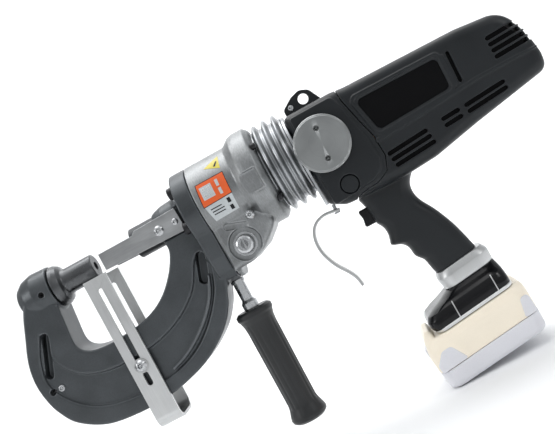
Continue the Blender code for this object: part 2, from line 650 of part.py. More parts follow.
def outer_form(name, finish=None):
    """The housing's outer form without the grip."""
    form = prism(name, filleted(BODY_OUTLINE, 2), 'Y', -BODY_HALF, BODY_HALF, finish=finish)
    return bevel(form, 10, 2, 60)


def grip_form(name):
    ring = flow(GRIP_REAR, 2) + flow(GRIP_FRONT, 2)
    return bevel(prism(name, ring, 'Y', -GRIP_HALF, GRIP_HALF), 11, 2, 60)


def vent_boxes(side, tag):
    """Cooling slots through the side wall, each listed as (start x, end x, middle z)."""
    low, high = sorted((side * 30, side * 60))
    slots = []
    for row in range(4):
        slots.append((442, 500, 8.6 - 6.4 * row))
    for row in range(2):
        slots.append((397, 436, -36.0 - 5.8 * row))
        slots.append((372, 388, -38.0 - 6.0 * row))
    for row in range(3):
        slots.append((313.5 + row, 352.5 + row, -42.3 - 6.2 * row))
    return [box(f"vent_{tag}_{number}", (start, low, z - 1.4), (end, high, z + 1.4))
            for number, (start, end, z) in enumerate(slots)]


def housings():
    cavity = prism("cavity", filleted(BODY_CAVITY, 2), 'Y', WALL - BODY_HALF, BODY_HALF - WALL)
    grip_cavity = prism("grip_cavity", GRIP_CAVITY, 'Y', WALL - GRIP_HALF, GRIP_HALF - WALL)
    front_region = SEAM + [(225, -80), (225, 60)]
    rear_seam = [(x + 2 * GAP, z) for x, z in SEAM]
    rear_region = [(530, 60), (530, -230), (240, -230), (240, -80.5)] + rear_seam[::-1]
    for side, tag in ((-1, "left"), (1, "right")):
        low, high = sorted((side * 0.15, side * 80))
        cover = outer_form("gear_cover_" + tag, "black_plastic")
        boolean(cover, prism("front_region_" + tag, front_region, 'Y', low, high), 'INTERSECT')
        cut(cover, cavity,
            rod("cap_opening_" + tag, 'Y', -60, 60, PUMP_BOSS_R + 0.5, (PUMP_X, 0, PUMP_Z),
                sides=32))
        motor_shell = outer_form("motor_housing_" + tag, "black_plastic")
        join(motor_shell, grip_form("grip_form_" + tag))
        boolean(motor_shell, prism("rear_region_" + tag, rear_region, 'Y', low, high),
                'INTERSECT')
        seat_low, seat_high = sorted((side * 37.6, side * 50))
        cut(motor_shell, cavity, grip_cavity,
            box("trigger_slot_" + tag, (240, -7, -96.5), (284, 7, -76.5)),
            box("plate_seat_" + tag, (316, seat_low, -15.5), (390, seat_high, 14)),
            box("grip_trim_" + tag, (-80, -50, -60), (80, 50, 74.4), parent=BATTERY_FRAME),
            *vent_boxes(side, tag))
        plate_low, plate_high = sorted((side * 37.9, side * 38.8))
        box("side_plate_" + tag, (316.5, plate_low, -15), (389.5, plate_high, 13.5),
            "gloss_black")


def eye_bracket():
    outline = filleted([(243.5, 36.1, 0), (243.5, 45.0, 4), (256, 53.0, 6), (266, 56.0, 6),
                        (275, 52.0, 6), (283, 36.1, 0)], 3)
    eye = prism("hanging_eye", outline, 'Y', -2.6, 2.6,
                [arc((266.2, 46.2), 5.4, 0, 340, 17)], "black_plastic")
    bevel(eye, 0.6, 1, 50)


def guard():
    line = flow([(250, -67.6), (240, -65.5), (229, -65.0), (219, -68.5), (212.8, -76),
                 (210.0, -87), (211.2, -100), (216.8, -114), (225, -126.5), (229.2, -135),
                 (231, -144.5)], 3)
    strap = prism("hand_guard", strip(line, 2.0), 'Y', -7, 7, finish="zinc_sheet")
    cut(strap, rod("guard_hole", 'Z', -75, -50, 2.6, (244.5, 0, 0), sides=12))


def trigger_group():
    blade = filleted([(-7.7, -9.0, 1.5), (17, -9.0, 1), (17, 8.6, 1), (-7.7, 8.6, 1.5)], 2)
    bevel(prism("trigger", blade, 'Y', -6.3, 6.3, finish="gloss_black", parent=TRIGGER_AXIS),
          0.8, 1)
    box("switch_body", (293.5, -9, -101), (313, 9, -75), "black_plastic")
    coil("trigger_spring", (0, 0, -86.5), 285.3, 293.2, 4.0, 0.5, 3, "bright_steel", 8)


# ---- Battery, adapter and band, in the tilted battery frame ----
def loft(name, sections, finish, parent, sides=4):
    """A solid through rounded rectangles: each is (height, low x, high x, half y, corner)."""
    mesh = bpy.data.meshes.new(name)
    form = bmesh.new()
    rings = []
    for height, low, high, half, corner in sections:
        ring = filleted([(low, -half, corner), (high, -half, corner), (high, half, corner),
                         (low, half, corner)], sides)
        rings.append([form.verts.new(mm(x, y, height)) for x, y in ring])
    for below, above in zip(rings, rings[1:]):
        for i in range(len(below)):
            k = (i + 1) % len(below)
            form.faces.new((below[i], below[k], above[k], above[i]))
    form.faces.new(list(reversed(rings[0])))
    form.faces.new(rings[-1])
    bmesh.ops.recalc_face_normals(form, faces=form.faces)
    form.to_mesh(mesh)
    form.free()
    return smooth(add_object(name, mesh, finish, (0, 0, 0), (0, 0, 0), parent))


def battery_group():
    frame = BATTERY_FRAME
    band = loft("grip_band", [(56.3, -8, 47, 22, 14), (68, -8.5, 48, 22, 14),
                              (74.1, -6, 45, 19, 13)], "zinc_sheet", frame, 3)
    cut(band, loft("band_hole", [(50, -2, 40, 15.5, 10), (80, -2, 38, 15.5, 10)], None, frame,
                   3))
    adapter = loft("battery_adapter", [
        (28.3, -36, 46, 33, 8), (31.5, -39, 46.5, 34, 10), (40, -41.5, 47.5, 34, 12),
        (46, -38, 47.5, 32, 13), (51, -24, 47, 27, 14), (55.9, -8, 46.5, 21.5, 13.5)],
        "gloss_black", frame)
    cut(adapter, loft("adapter_hollow", [
        (20, -28, 42, 28, 8), (40, -30, 43, 28, 8), (60, 0, 40, 15, 9)], None, frame, 2))
    upper = loft("battery_upper_case", [
        (-3.7, -58.5, 52, BATTERY_HALF, 12), (12, -58.5, 53.5, BATTERY_HALF, 13),
        (22, -56, 54, BATTERY_HALF - 1, 13), (27.9, -51, 51.5, BATTERY_HALF - 4, 12)],
        "cream_plastic", frame)
    lip = loft("battery_lip", [(20, -54.5, -44, 24, 4), (31, -52.5, -44, 22, 4),
                               (37, -49.5, -44.5, 18, 2)], None, frame, 2)
    join(upper, lip)
    cut(upper, loft("battery_well", [(-10, -50, 44, 31, 5), (23, -50, 44, 31, 5)], None, frame,
                    2),
        box("latch_slot", (-70, -10, 8), (-45, 10, 19.5), parent=frame))
    lower = loft("battery_lower_case", [
        (-23.4, -54, 47, BATTERY_HALF - 4, 9), (-20.8, -57, 49.5, BATTERY_HALF - 1, 11),
        (-4, -58.5, 52, BATTERY_HALF, 12)], "grey_plastic", frame)
    cut(lower, loft("lower_well", [(-20.4, -50, 44, 31, 5), (0, -50, 44, 31, 5)], None, frame, 2))
    latch = box("battery_latch", (-59.5, -9.4, 8.6), (-46.5, 9.4, 18.9), "grey_plastic", frame)
    bevel(latch, 1.0, 1)
    cells = box("battery_cells", (-42, -27, -20), (42, 27, -2), "cell_wrap", frame)
    for cell in range(4):
        join(cells, rod(f"cell_{cell}", 'Y', -26, 26, 9.6, (-31.5 + 21 * cell, 0, 5),
                        parent=frame, sides=12))


# ---- Auxiliary handle ----
def side_handle():
    turned("handle_stud", 'Z', [
        (-229, 6), (-112.6, 6), (-112.6, 8.2), (-106, 8.2), (-103, 6), (-84, 6),
        (-84, 7.3), (-80.4, 7.3), (-80.4, 4.5), (-66, 4.5)],
        at=(HANDLE_X, 0, 0), finish="bright_steel", steps=20)
    turned("handle_grip", 'Z', [
        (-239.5, 10), (-236.5, 18), (-233, 19.4), (-229, 18.2), (-218, 15.4), (-134, 16.0),
        (-124, 17.2), (-119.5, 19.6), (-115.5, 19.6), (-113, 16.5)],
        at=(HANDLE_X, 0, 0), finish="rubber", steps=24)
    grip = bpy.data.objects["handle_grip"]
    cut(grip, rod("grip_bore", 'Z', -230, -100, 6.3, (HANDLE_X, 0, 0), sides=20))


c_frame()
head_bolts()
die()
ram_group()
strippers()
gauge()
cylinder_block()
finned_barrel()
pump()
motor()
housings()
eye_bracket()
guard()
trigger_group()
battery_group()
side_handle()
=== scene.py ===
"""Looks of the cordless hydraulic hole puncher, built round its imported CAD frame.

Shapes are drawn in millimetres in the tool frame, as in the CAD: X along the ram to the rear, Z up,
the left side at -Y and the origin in the middle of the die's face. TOOL and BATTERY turn those
millimetres into the frame's metres.
"""
import json
import math

import bmesh
import bpy
from mathutils import Matrix, Vector

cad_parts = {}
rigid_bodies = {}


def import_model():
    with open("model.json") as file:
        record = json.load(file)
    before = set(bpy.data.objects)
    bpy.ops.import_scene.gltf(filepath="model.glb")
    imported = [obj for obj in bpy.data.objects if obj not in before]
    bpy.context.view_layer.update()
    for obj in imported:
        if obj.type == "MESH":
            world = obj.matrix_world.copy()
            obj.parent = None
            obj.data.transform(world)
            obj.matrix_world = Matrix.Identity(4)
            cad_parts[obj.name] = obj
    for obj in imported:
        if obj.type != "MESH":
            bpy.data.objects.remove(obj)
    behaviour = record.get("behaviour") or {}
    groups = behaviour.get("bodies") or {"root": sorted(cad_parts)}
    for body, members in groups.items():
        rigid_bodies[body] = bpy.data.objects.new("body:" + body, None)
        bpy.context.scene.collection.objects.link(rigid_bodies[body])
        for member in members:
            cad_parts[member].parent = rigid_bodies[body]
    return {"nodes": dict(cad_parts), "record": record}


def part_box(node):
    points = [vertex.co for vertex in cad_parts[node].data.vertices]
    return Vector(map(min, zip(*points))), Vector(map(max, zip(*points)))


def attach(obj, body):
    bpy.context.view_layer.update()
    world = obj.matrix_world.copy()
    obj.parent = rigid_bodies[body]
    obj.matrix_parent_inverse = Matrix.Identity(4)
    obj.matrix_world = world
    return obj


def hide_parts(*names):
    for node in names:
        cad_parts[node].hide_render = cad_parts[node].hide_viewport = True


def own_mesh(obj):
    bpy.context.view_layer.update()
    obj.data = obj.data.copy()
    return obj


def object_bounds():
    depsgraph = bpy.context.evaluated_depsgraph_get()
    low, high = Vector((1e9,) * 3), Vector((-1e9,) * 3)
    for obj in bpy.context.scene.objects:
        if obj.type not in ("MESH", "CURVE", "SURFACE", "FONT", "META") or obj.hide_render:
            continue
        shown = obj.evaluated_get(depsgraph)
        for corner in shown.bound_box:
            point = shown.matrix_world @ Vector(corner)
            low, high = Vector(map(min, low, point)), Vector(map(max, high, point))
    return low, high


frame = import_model()
CAD_LOW, CAD_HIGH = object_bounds()
RECORD = frame["record"]
BODY_OF = {node: body for body, nodes in RECORD["behaviour"]["bodies"].items() for node in nodes}
SLOT_OF = {part["node"]: part["material_slot"] for part in RECORD["subparts"]}
MOUNTS = {mount["name"]: mount for mount in RECORD["mounts"]}

MM = 0.001
DIE_LOW, DIE_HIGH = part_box("die")
ORIGIN = Vector((DIE_HIGH.x, 0.0, (DIE_LOW.z + DIE_HIGH.z) / 2))
TOOL = Matrix.Translation(ORIGIN) @ Matrix.Scale(MM, 4)

BASE_DEPTH = 23.4                      # from the battery frame's origin down to its base
BASE = MOUNTS["battery_base"]
BATTERY_TILT = math.atan2(BASE["axis"][0], -BASE["axis"][2])
BATTERY = (Matrix.Translation(Vector(BASE["pos_m"])) @ Matrix.Rotation(-BATTERY_TILT, 4, 'Y')
           @ Matrix.Scale(MM, 4) @ Matrix.Translation((0, 0, BASE_DEPTH)))

FRAME_HALF = 20.5
HEAD_R = 42.5
HEAD_JOINT_X = 128.5
HEAD_FRONT_X = 111.0
PUMP_X, PUMP_Z = 262.8, -4.0
CAP_R = 27.5
KNOB = (151.5, 0, -52.5)
HANDLE_X = 121.4
GAUGE_X = -0.4
SPRING_STEPS, WIRE_SIDES = 32, 12      # sections in one turn of a spring, and points round its wire
GAUGE_SCREW_Z = -110.0
VOXEL = 0.8

AXIS = {'X': Matrix(((0, 0, 1), (1, 0, 0), (0, 1, 0))).to_4x4(),
        'Y': Matrix(((0, 1, 0), (0, 0, 1), (1, 0, 0))).to_4x4(),
        '-Y': Matrix(((1, 0, 0), (0, 0, -1), (0, 1, 0))).to_4x4(),
        'Z': Matrix.Identity(4)}
SIDES = ((-1, "left", '-Y'), (1, "right", 'Y'))


# ---- Materials ----
MIX_FACTOR, MIX_A, MIX_B, MIX_RESULT = 0, 6, 7, 2      # the colour sockets of a Mix node


def finish(name, color, metallic, roughness, vary=0.10, patch=30.0, fine=900.0,
           stretch=(1, 1, 1), bump=0.12, depth=0.0001, edge_wear_and_highlight=0.0, rings_at=None, **sockets):
    """A procedural surface with broad patches, a stretched or ringed fine grain, and convex edges
    lightened, part edge wear and part painted highlight.
    """
    material = bpy.data.materials.new(name)
    material.use_nodes = True
    tree = material.node_tree
    shader = tree.nodes["Principled BSDF"]
    shader.inputs["Metallic"].default_value = metallic
    for socket, value in sockets.items():
        shader.inputs[socket.replace("_", " ")].default_value = value

    def add(kind, settings=(), values=()):
        made = tree.nodes.new("ShaderNode" + kind)
        for key, value in dict(settings).items():
            setattr(made, key, value)
        for key, value in dict(values).items():
            made.inputs[key].default_value = value
        return made

    def wire(source, target, into, out=0):
        tree.links.new(source.outputs[out], target.inputs[into])

    place = add("TexCoord")
    grain_place = add("Mapping", (), {"Scale": stretch})
    if rings_at is None:
        wire(place, grain_place, "Vector", "Object")
    else:
        centre, keep = rings_at
        away = add("VectorMath", {"operation": 'SUBTRACT'}, {1: centre})
        flat = add("VectorMath", {"operation": 'MULTIPLY'}, {1: keep})
        reach = add("VectorMath", {"operation": 'LENGTH'})
        wire(place, away, 0, "Object")
        wire(away, flat, 0)
        wire(flat, reach, 0)
        wire(reach, grain_place, "Vector", "Value")
    grain = add("TexNoise", (), {"Scale": fine, "Detail": 3.0})
    wire(grain_place, grain, "Vector")
    patches = add("TexNoise", (), {"Scale": patch, "Detail": 4.0})
    wire(place, patches, "Vector", "Object")

    level = add("MapRange", (), {"From Min": 0.3, "From Max": 0.7, "To Min": 1 - vary,
                                 "To Max": 1 + vary})
    wire(patches, level, "Value")
    speckle = add("MapRange", (), {"From Min": 0.3, "From Max": 0.7, "To Min": 1 - vary * 0.7,
                                   "To Max": 1 + vary * 0.7})
    wire(grain, speckle, "Value")
    both = add("Math", {"operation": 'MULTIPLY'})
    wire(level, both, 0)
    wire(speckle, both, 1)
    tint = add("VectorMath", {"operation": 'SCALE'}, {0: color})
    wire(both, tint, "Scale")
    # Convex edges are mixed towards a paler tint: partly edge wear, partly a painted highlight
    # along ridges and rims.
    if edge_wear_and_highlight:
        shape = add("NewGeometry")
        edge = add("MapRange", (), {"From Min": 0.515, "From Max": 0.60, "To Max": edge_wear_and_highlight})
        wire(shape, edge, "Value", "Pointiness")
        worn_and_lit_edges = add("Mix", {"data_type": 'RGBA'}, {MIX_B: (*[c * 2.6 + 0.05 for c in color], 1.0)})
        wire(edge, worn_and_lit_edges, MIX_FACTOR)
        wire(tint, worn_and_lit_edges, MIX_A)
        wire(worn_and_lit_edges, shader, "Base Color", MIX_RESULT)
    else:
        wire(tint, shader, "Base Color")

    rough = add("MapRange", (), {"From Min": 0.3, "From Max": 0.7,
                                 "To Min": max(roughness - 0.07, 0.02), "To Max": roughness + 0.07})
    wire(patches, rough, "Value")
    wire(rough, shader, "Roughness")
    relief = add("Bump", (), {"Strength": bump, "Distance": depth})
    wire(grain, relief, "Height")
    wire(relief, shader, "Normal")
    return material


CAP_CENTRE = TOOL @ Vector((PUMP_X, 0, PUMP_Z))
FINISH = {
    # The casting's strong edge lightening is mostly painted highlight on its ridges.
    "casting_grey": finish("satin_casting", (0.062, 0.068, 0.073), 0.55, 0.36, 0.12, 40, 1100,
                           bump=0.25, depth=0.00015, edge_wear_and_highlight=0.9),
    "dark_steel": finish("dark_polished_steel", (0.10, 0.103, 0.107), 0.95, 0.29, 0.08, 60, 700,
                         stretch=(3, 1, 1), bump=0.06, edge_wear_and_highlight=0.3),
    "oiled_steel": finish("oiled_dark_steel", (0.050, 0.052, 0.055), 0.90, 0.42, 0.10, 60, 700),
    "black_screw": finish("black_oxide", (0.020, 0.020, 0.022), 0.6, 0.42, 0.15, edge_wear_and_highlight=0.3),
    "bright_steel": finish("brushed_steel", (0.33, 0.335, 0.34), 0.95, 0.38, 0.09, 50, 420,
                           stretch=(0.12, 3, 3), bump=0.12, edge_wear_and_highlight=0.3),
    "screw_steel": finish("bright_screw", (0.50, 0.51, 0.52), 1.0, 0.27, 0.10, 90, 700, bump=0.05),
    "zinc_sheet": finish("satin_sheet", (0.46, 0.465, 0.465), 0.92, 0.42, 0.07, 25, 420,
                         stretch=(3, 3, 0.15), bump=0.10, edge_wear_and_highlight=0.4),
    "cast_aluminium": finish("machined_casting", (0.25, 0.258, 0.262), 0.85, 0.42, 0.18, 45, 500,
                             stretch=(2, 0.6, 0.6), bump=0.12, edge_wear_and_highlight=0.9),
    "turned_aluminium": finish("turned_aluminium", (0.33, 0.34, 0.35), 0.97, 0.34, 0.10, 40, 500,
                               stretch=(2, 0.05, 0.05), bump=0.05, edge_wear_and_highlight=0.5),
    "spun_aluminium": finish("spun_cap", (0.33, 0.34, 0.34), 0.95, 0.38, 0.07, 40, 1300,
                             rings_at=(CAP_CENTRE, (1, 0, 1)), bump=0.12, edge_wear_and_highlight=0.4,
                             Anisotropic=0.6),
    "bronze": finish("machined_bronze", (0.45, 0.30, 0.12), 0.90, 0.35),
    "black_plastic": finish("matte_black_plastic", (0.0085, 0.0105, 0.0125), 0.0, 0.42, 0.12, 22,
                            1800, bump=0.20, depth=0.00008, edge_wear_and_highlight=0.35, Specular_IOR_Level=0.34),
    "gloss_black": finish("gloss_black_plastic", (0.003, 0.003, 0.004), 0.0, 0.20, 0.2, 40, 900,
                          bump=0.02, Specular_IOR_Level=0.28),
    "panel_black": finish("panel_black", (0.0015, 0.0015, 0.002), 0.0, 0.50, 0.2, 40, 900,
                          bump=0.15, Specular_IOR_Level=0.10),
    "rubber": finish("black_rubber", (0.010, 0.011, 0.012), 0.0, 0.42, 0.15, 40, 1500, bump=0.20,
                     edge_wear_and_highlight=0.25),
    "cream_plastic": finish("cream_plastic", (0.96, 0.87, 0.72), 0.0, 0.42, 0.03, 20, 1800,
                            bump=0.08, depth=0.00006),
    "grey_plastic": finish("pale_grey_plastic", (0.74, 0.74, 0.78), 0.0, 0.40, 0.04, 20, 1800,
                           bump=0.08, depth=0.00006),
    "copper": finish("enamelled_copper", (0.60, 0.28, 0.14), 0.90, 0.40, stretch=(1, 6, 6)),
    "cell_wrap": finish("cell_wrap", (0.10, 0.26, 0.42), 0.0, 0.35),
    "nylon": finish("white_nylon", (0.75, 0.74, 0.70), 0.0, 0.50),
    "orange_label": finish("orange_label", (0.72, 0.11, 0.02), 0.0, 0.35, 0.05),
    "white_label": finish("white_label", (0.50, 0.53, 0.54), 0.0, 0.35, 0.10),
    "yellow_label": finish("yellow_label", (0.60, 0.50, 0.04), 0.0, 0.35, 0.08),
    "print": finish("label_print", (0.012, 0.012, 0.014), 0.0, 0.4, 0.05, Specular_IOR_Level=0.2),
}


def paint(piece, name):
    piece.data.materials.clear()
    piece.data.materials.append(FINISH[name])
    return piece


def stand_for(piece, *nodes, look=None):
    """The piece rides on the first node's body and is shown in place of the nodes."""
    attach(piece, BODY_OF[nodes[0]])
    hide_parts(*nodes)
    return paint(piece, look or SLOT_OF[nodes[0]])


def add_on(piece, node, look):
    """A detail that rides with a node's body and stands for none."""
    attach(piece, BODY_OF[node])
    return paint(piece, look)


# ---- Outlines ----
def flow(points, per_span=6):
    """An open Catmull-Rom curve through the points."""
    last = len(points) - 1
    path = []
    for i in range(last):
        around = (points[max(i - 1, 0)], points[i], points[i + 1], points[min(i + 2, last)])
        for step in range(per_span):
            t = step / per_span
            path.append(tuple(
                0.5 * (2 * b + (c - a) * t + (2 * a - 5 * b + 4 * c - d) * t ** 2
                       + (3 * b - a - 3 * c + d) * t ** 3)
                for a, b, c, d in zip(*around)))
    path.append(tuple(points[-1]))
    return path


def arc(middle, radius, start, end, steps=24):
    """Points on a circle between two angles in degrees."""
    return [(middle[0] + radius * math.cos(math.radians(start + (end - start) * i / steps)),
             middle[1] + radius * math.sin(math.radians(start + (end - start) * i / steps)))
            for i in range(steps + 1)]


def rounded(corners, steps=5, closed=True):
    """An outline from (a, b, radius) corners, each rounded as far as its edges allow."""
    path = []
    count = len(corners)
    for i, (a, b, radius) in enumerate(corners):
        here = Vector((a, b))
        if radius == 0 or (not closed and i in (0, count - 1)):
            path.append((a, b))
            continue
        last = Vector(corners[i - 1][:2]) - here
        ahead = Vector(corners[(i + 1) % count][:2]) - here
        half = last.angle(ahead) / 2
        if half > math.radians(88):
            path.append((a, b))
            continue
        back = min(radius / math.tan(half), 0.48 * last.length, 0.48 * ahead.length)
        turn = back * math.tan(half)
        toward = (last.normalized() + ahead.normalized()).normalized()
        middle = here + toward * turn / math.sin(half)
        first = here + last.normalized() * back - middle
        final = here + ahead.normalized() * back - middle
        for k in range(steps + 1):
            path.append(tuple(middle + first.lerp(final, k / steps).normalized() * turn))
    return path


def capsule(start, end, radius, steps=10):
    heading = math.degrees(math.atan2(end[1] - start[1], end[0] - start[0]))
    return (arc(end, radius, heading - 90, heading + 90, steps)
            + arc(start, radius, heading + 90, heading + 270, steps))


def strip(points, thickness):
    """The closed outline of a bent strip from its centre line."""
    sides = ([], [])
    for i, point in enumerate(points):
        along = (Vector(points[min(i + 1, len(points) - 1)])
                 - Vector(points[max(i - 1, 0)])).normalized()
        across = Vector((-along.y, along.x)) * thickness / 2
        sides[0].append(tuple(Vector(point) + across))
        sides[1].append(tuple(Vector(point) - across))
    return sides[0] + sides[1][::-1]


# ---- Solids ----
def linked(name, mesh):
    piece = bpy.data.objects.new(name, mesh)
    bpy.context.scene.collection.objects.link(piece)
    return piece


def smooth(piece, angle=42, even=True):
    piece.data.shade_smooth()
    piece.data.set_sharp_from_angle(angle=math.radians(angle))
    if even:
        shading = piece.modifiers.new("even_shading", 'WEIGHTED_NORMAL')
        shading.keep_sharp = True
    return piece


def shaped(name, form, place=TOOL):
    """The bmesh as a smooth piece, put in place."""
    bmesh.ops.recalc_face_normals(form, faces=form.faces)
    mesh = bpy.data.meshes.new(name)
    form.to_mesh(mesh)
    form.free()
    mesh.transform(place)
    return smooth(linked(name, mesh))


def settle(piece):
    """The piece with its modifiers applied."""
    graph = bpy.context.evaluated_depsgraph_get()
    mesh = bpy.data.meshes.new_from_object(piece.evaluated_get(graph))
    piece.modifiers.clear()
    old = piece.data
    piece.data = mesh
    bpy.data.meshes.remove(old)
    mesh.name = piece.name
    return piece


def plate(name, outline, axis, low, high, edge=0.0, holes=(), place=TOOL, steps=3):
    """A flat outline given thickness along an axis, all its edges rounded to one radius."""
    curve = bpy.data.curves.new(name, 'CURVE')
    curve.dimensions = '2D'
    curve.fill_mode = 'BOTH'
    curve.extrude = (high - low) / 2 - edge
    curve.bevel_depth = edge
    curve.bevel_resolution = steps
    curve.offset = -edge
    for ring in (outline, *holes):
        spline = curve.splines.new('POLY')
        spline.points.add(len(ring) - 1)
        for point, (a, b) in zip(spline.points, ring):
            point.co = (a, b, 0.0, 1.0)
        spline.use_cyclic_u = True
    source = linked(name + "_outline", curve)
    graph = bpy.context.evaluated_depsgraph_get()
    mesh = bpy.data.meshes.new_from_object(source.evaluated_get(graph))
    bpy.data.objects.remove(source)
    form = bmesh.new()
    form.from_mesh(mesh)
    bmesh.ops.remove_doubles(form, verts=form.verts, dist=0.0005)
    bmesh.ops.recalc_face_normals(form, faces=form.faces)
    form.to_mesh(mesh)
    form.free()
    middle = (low + high) / 2
    shift = {'X': (middle, 0, 0), 'Y': (0, middle, 0), 'Z': (0, 0, middle)}[axis]
    mesh.transform(place @ Matrix.Translation(shift) @ AXIS['-Y' if axis == 'Y' else axis])
    mesh.name = name
    return smooth(linked(name, mesh))


def lathe(name, axis, outer, bore=(), at=(0, 0, 0), sides=96, soft=0.4, ripple=None, phase=0.0):
    """A turned piece from (along, radius, rounding) points; ripple(along, turn) scales it."""
    def filled(points):
        return [(*point, soft)[:3] if len(point) == 2 else point for point in points]
    if bore:
        path = rounded(filled(list(outer) + list(bore)[::-1]), 4)
    else:
        ends = [(outer[0][0], 0.0)] + list(outer) + [(outer[-1][0], 0.0)]
        path = rounded(filled(ends), 4, False)
    form = bmesh.new()
    rings = []
    for along, radius in path:
        count = 1 if radius < 1e-4 else sides
        ring = []
        for i in range(count):
            turn = 2 * math.pi * i / sides + phase
            reach = radius * (ripple(along, turn) if ripple else 1.0)
            ring.append(form.verts.new((reach * math.cos(turn), reach * math.sin(turn), along)))
        rings.append(ring)
    ahead = rings[1:] + (rings[:1] if bore else [])
    for ring, other in zip(rings, ahead):
        for i in range(sides):
            k = (i + 1) % sides
            corners = dict.fromkeys((ring[i % len(ring)], ring[k % len(ring)],
                                     other[k % len(other)], other[i % len(other)]))
            if len(corners) > 2:
                form.faces.new(list(corners))
    return shaped(name, form, TOOL @ Matrix.Translation(at) @ AXIS[axis])


def pin(axis, low, high, radius, at=(0, 0, 0), sides=48):
    """A plain round cutter or core, its facets turned a little off its neighbours'."""
    return lathe("pin", axis, [(low, radius), (high, radius)], at=at, sides=sides, soft=0,
                 phase=0.017)


def block(low, high, edge=0.5, place=TOOL):
    """A box with rounded edges, from two corners."""
    outline = rounded([(low[0], low[2], edge), (high[0], low[2], edge), (high[0], high[2], edge),
                       (low[0], high[2], edge)], 3)
    return plate("block", outline, 'Y', low[1], high[1], edge, place=place, steps=2)


def skin(name, rings, place=TOOL):
    """A closed body over rings of equally many points, with its two ends capped."""
    form = bmesh.new()
    rings = [[form.verts.new(point) for point in ring] for ring in rings]
    for below, above in zip(rings, rings[1:]):
        for i in range(len(below)):
            k = (i + 1) % len(below)
            form.faces.new((below[i], below[k], above[k], above[i]))
    form.faces.new(list(reversed(rings[0])))
    form.faces.new(rings[-1])
    return shaped(name, form, place)


def loft(name, sections, place=BATTERY):
    """A body through rounded rectangles: each is (height, low x, high x, half y, corner)."""
    rings = []
    for height, low, high, half, corner in sections:
        ring = rounded([(low, -half, corner), (high, -half, corner), (high, half, corner),
                        (low, half, corner)], 8)
        rings.append([(x, y, height) for x, y in ring])
    return skin(name, rings, place)


def inset(corners, depth):
    """The (x, z, radius) corners of a clockwise outline with every edge moved in by depth."""
    moved = []
    for i, (x, z, radius) in enumerate(corners):
        here = Vector((x, z))
        back = (here - Vector(corners[i - 1][:2])).normalized()
        ahead = (Vector(corners[(i + 1) % len(corners)][:2]) - here).normalized()
        normals = [Vector((edge.y, -edge.x)) for edge in (back, ahead)]
        toward = (normals[0] + normals[1]).normalized()
        spot = here + toward * depth / toward.dot(normals[0])
        moved.append((spot.x, spot.y, max(radius - depth, 1.0)))
    return moved


def pillow(name, corners, half, radius, steps=8):
    """An outline given thickness 2 * half along Y, its side edges rounded to the radius."""
    layers = [(half - radius + radius * math.sin(math.pi / 2 * k / steps),
               radius * (1 - math.cos(math.pi / 2 * k / steps))) for k in range(steps + 1)]
    layers = [(-y, depth) for y, depth in reversed(layers)] + layers
    return skin(name, [[(x, y, z) for x, z in rounded(inset(corners, depth), 8)]
                       for y, depth in layers])


def touches(one, other):
    """True if the two pieces' boxes overlap."""
    spans = []
    for piece in (one, other):
        spots = [vertex.co for vertex in piece.data.vertices]
        spans.append([(min(c[k] for c in spots), max(c[k] for c in spots)) for k in range(3)])
    return all(a[0] < b[1] and b[0] < a[1] for a, b in zip(*spans))


def carve(piece, cutters, operation='DIFFERENCE'):
    """The piece after a Boolean with each cutter that its box meets."""
    for cutter in cutters:
        if touches(piece, cutter):
            step = piece.modifiers.new("cut", 'BOOLEAN')
            step.object = cutter
            step.operation = operation
    return settle(piece)


def drop(pieces):
    for piece in pieces:
        bpy.data.objects.remove(piece)


def joined(name, parts):
    """The parts as one mesh, not yet melted together."""
    form = bmesh.new()
    for part in parts:
        form.from_mesh(settle(part).data)
    mesh = bpy.data.meshes.new(name)
    form.to_mesh(mesh)
    form.free()
    drop(parts)
    return linked(name, mesh)


def fuse(name, parts, cutters, voxel, soften):
    """One cast or moulded body: parts joined and cut, and every edge and corner melted round."""
    for part in parts:
        carve(part, cutters)
    body = joined(name, parts)
    melded = body.modifiers.new("skin", 'REMESH')
    melded.mode = 'VOXEL'
    melded.voxel_size = voxel * VOXEL * MM
    melt = body.modifiers.new("melt", 'SMOOTH')
    melt.iterations = soften
    thin = body.modifiers.new("thin", 'DECIMATE')
    thin.ratio = 0.35
    settle(body)
    return smooth(body, 60, even=False)


# ---- The C-frame, its bolts and the die ----
FRAME_OUTER = [(-80, 0), (-87.5, -13.5), (-96, -33), (-102.5, -48), (-107, -63), (-108.6, -80),
               (-106.5, -97), (-101, -113.5), (-88.5, -131.5), (-62, -146.7), (-28.5, -151.7),
               (5, -151), (36, -145), (63.5, -135), (89, -118), (104.5, -99.5), (111, -86)]
FRAME_INNER = [(78.5, -14), (77.8, -25), (66.5, -43), (48, -60.5), (25, -71), (-8, -76),
               (-33, -75), (-46, -70), (-52, -60), (-50.5, -38), (-48.3, -16)]
RECESS_OUTER = [(-80, -36), (-91, -57), (-96.5, -78), (-92.5, -95), (-78, -113.5), (-58, -127),
                (-30, -134), (5, -135), (36, -130), (62, -118), (84, -99), (101, -76), (109, -52)]
RECESS_INNER = [(104, -40), (96, -44), (82, -66.5), (60, -84), (32, -95.5), (0, -100.5),
                (-32, -99.5), (-57, -92), (-72, -78), (-80, -62), (-75, -46), (-74, -38)]
HEAD_FOOT = [(-30, -52), (-24, -68), (-18, -76), (-8, -80), (8, -80), (18, -76), (24, -68),
             (30, -52)]
HEAD_BOLTS = [(33.0 * math.sin(math.radians(a)), 33.0 * math.cos(math.radians(a)))
              for a in (-112, -40, 40, 112)]


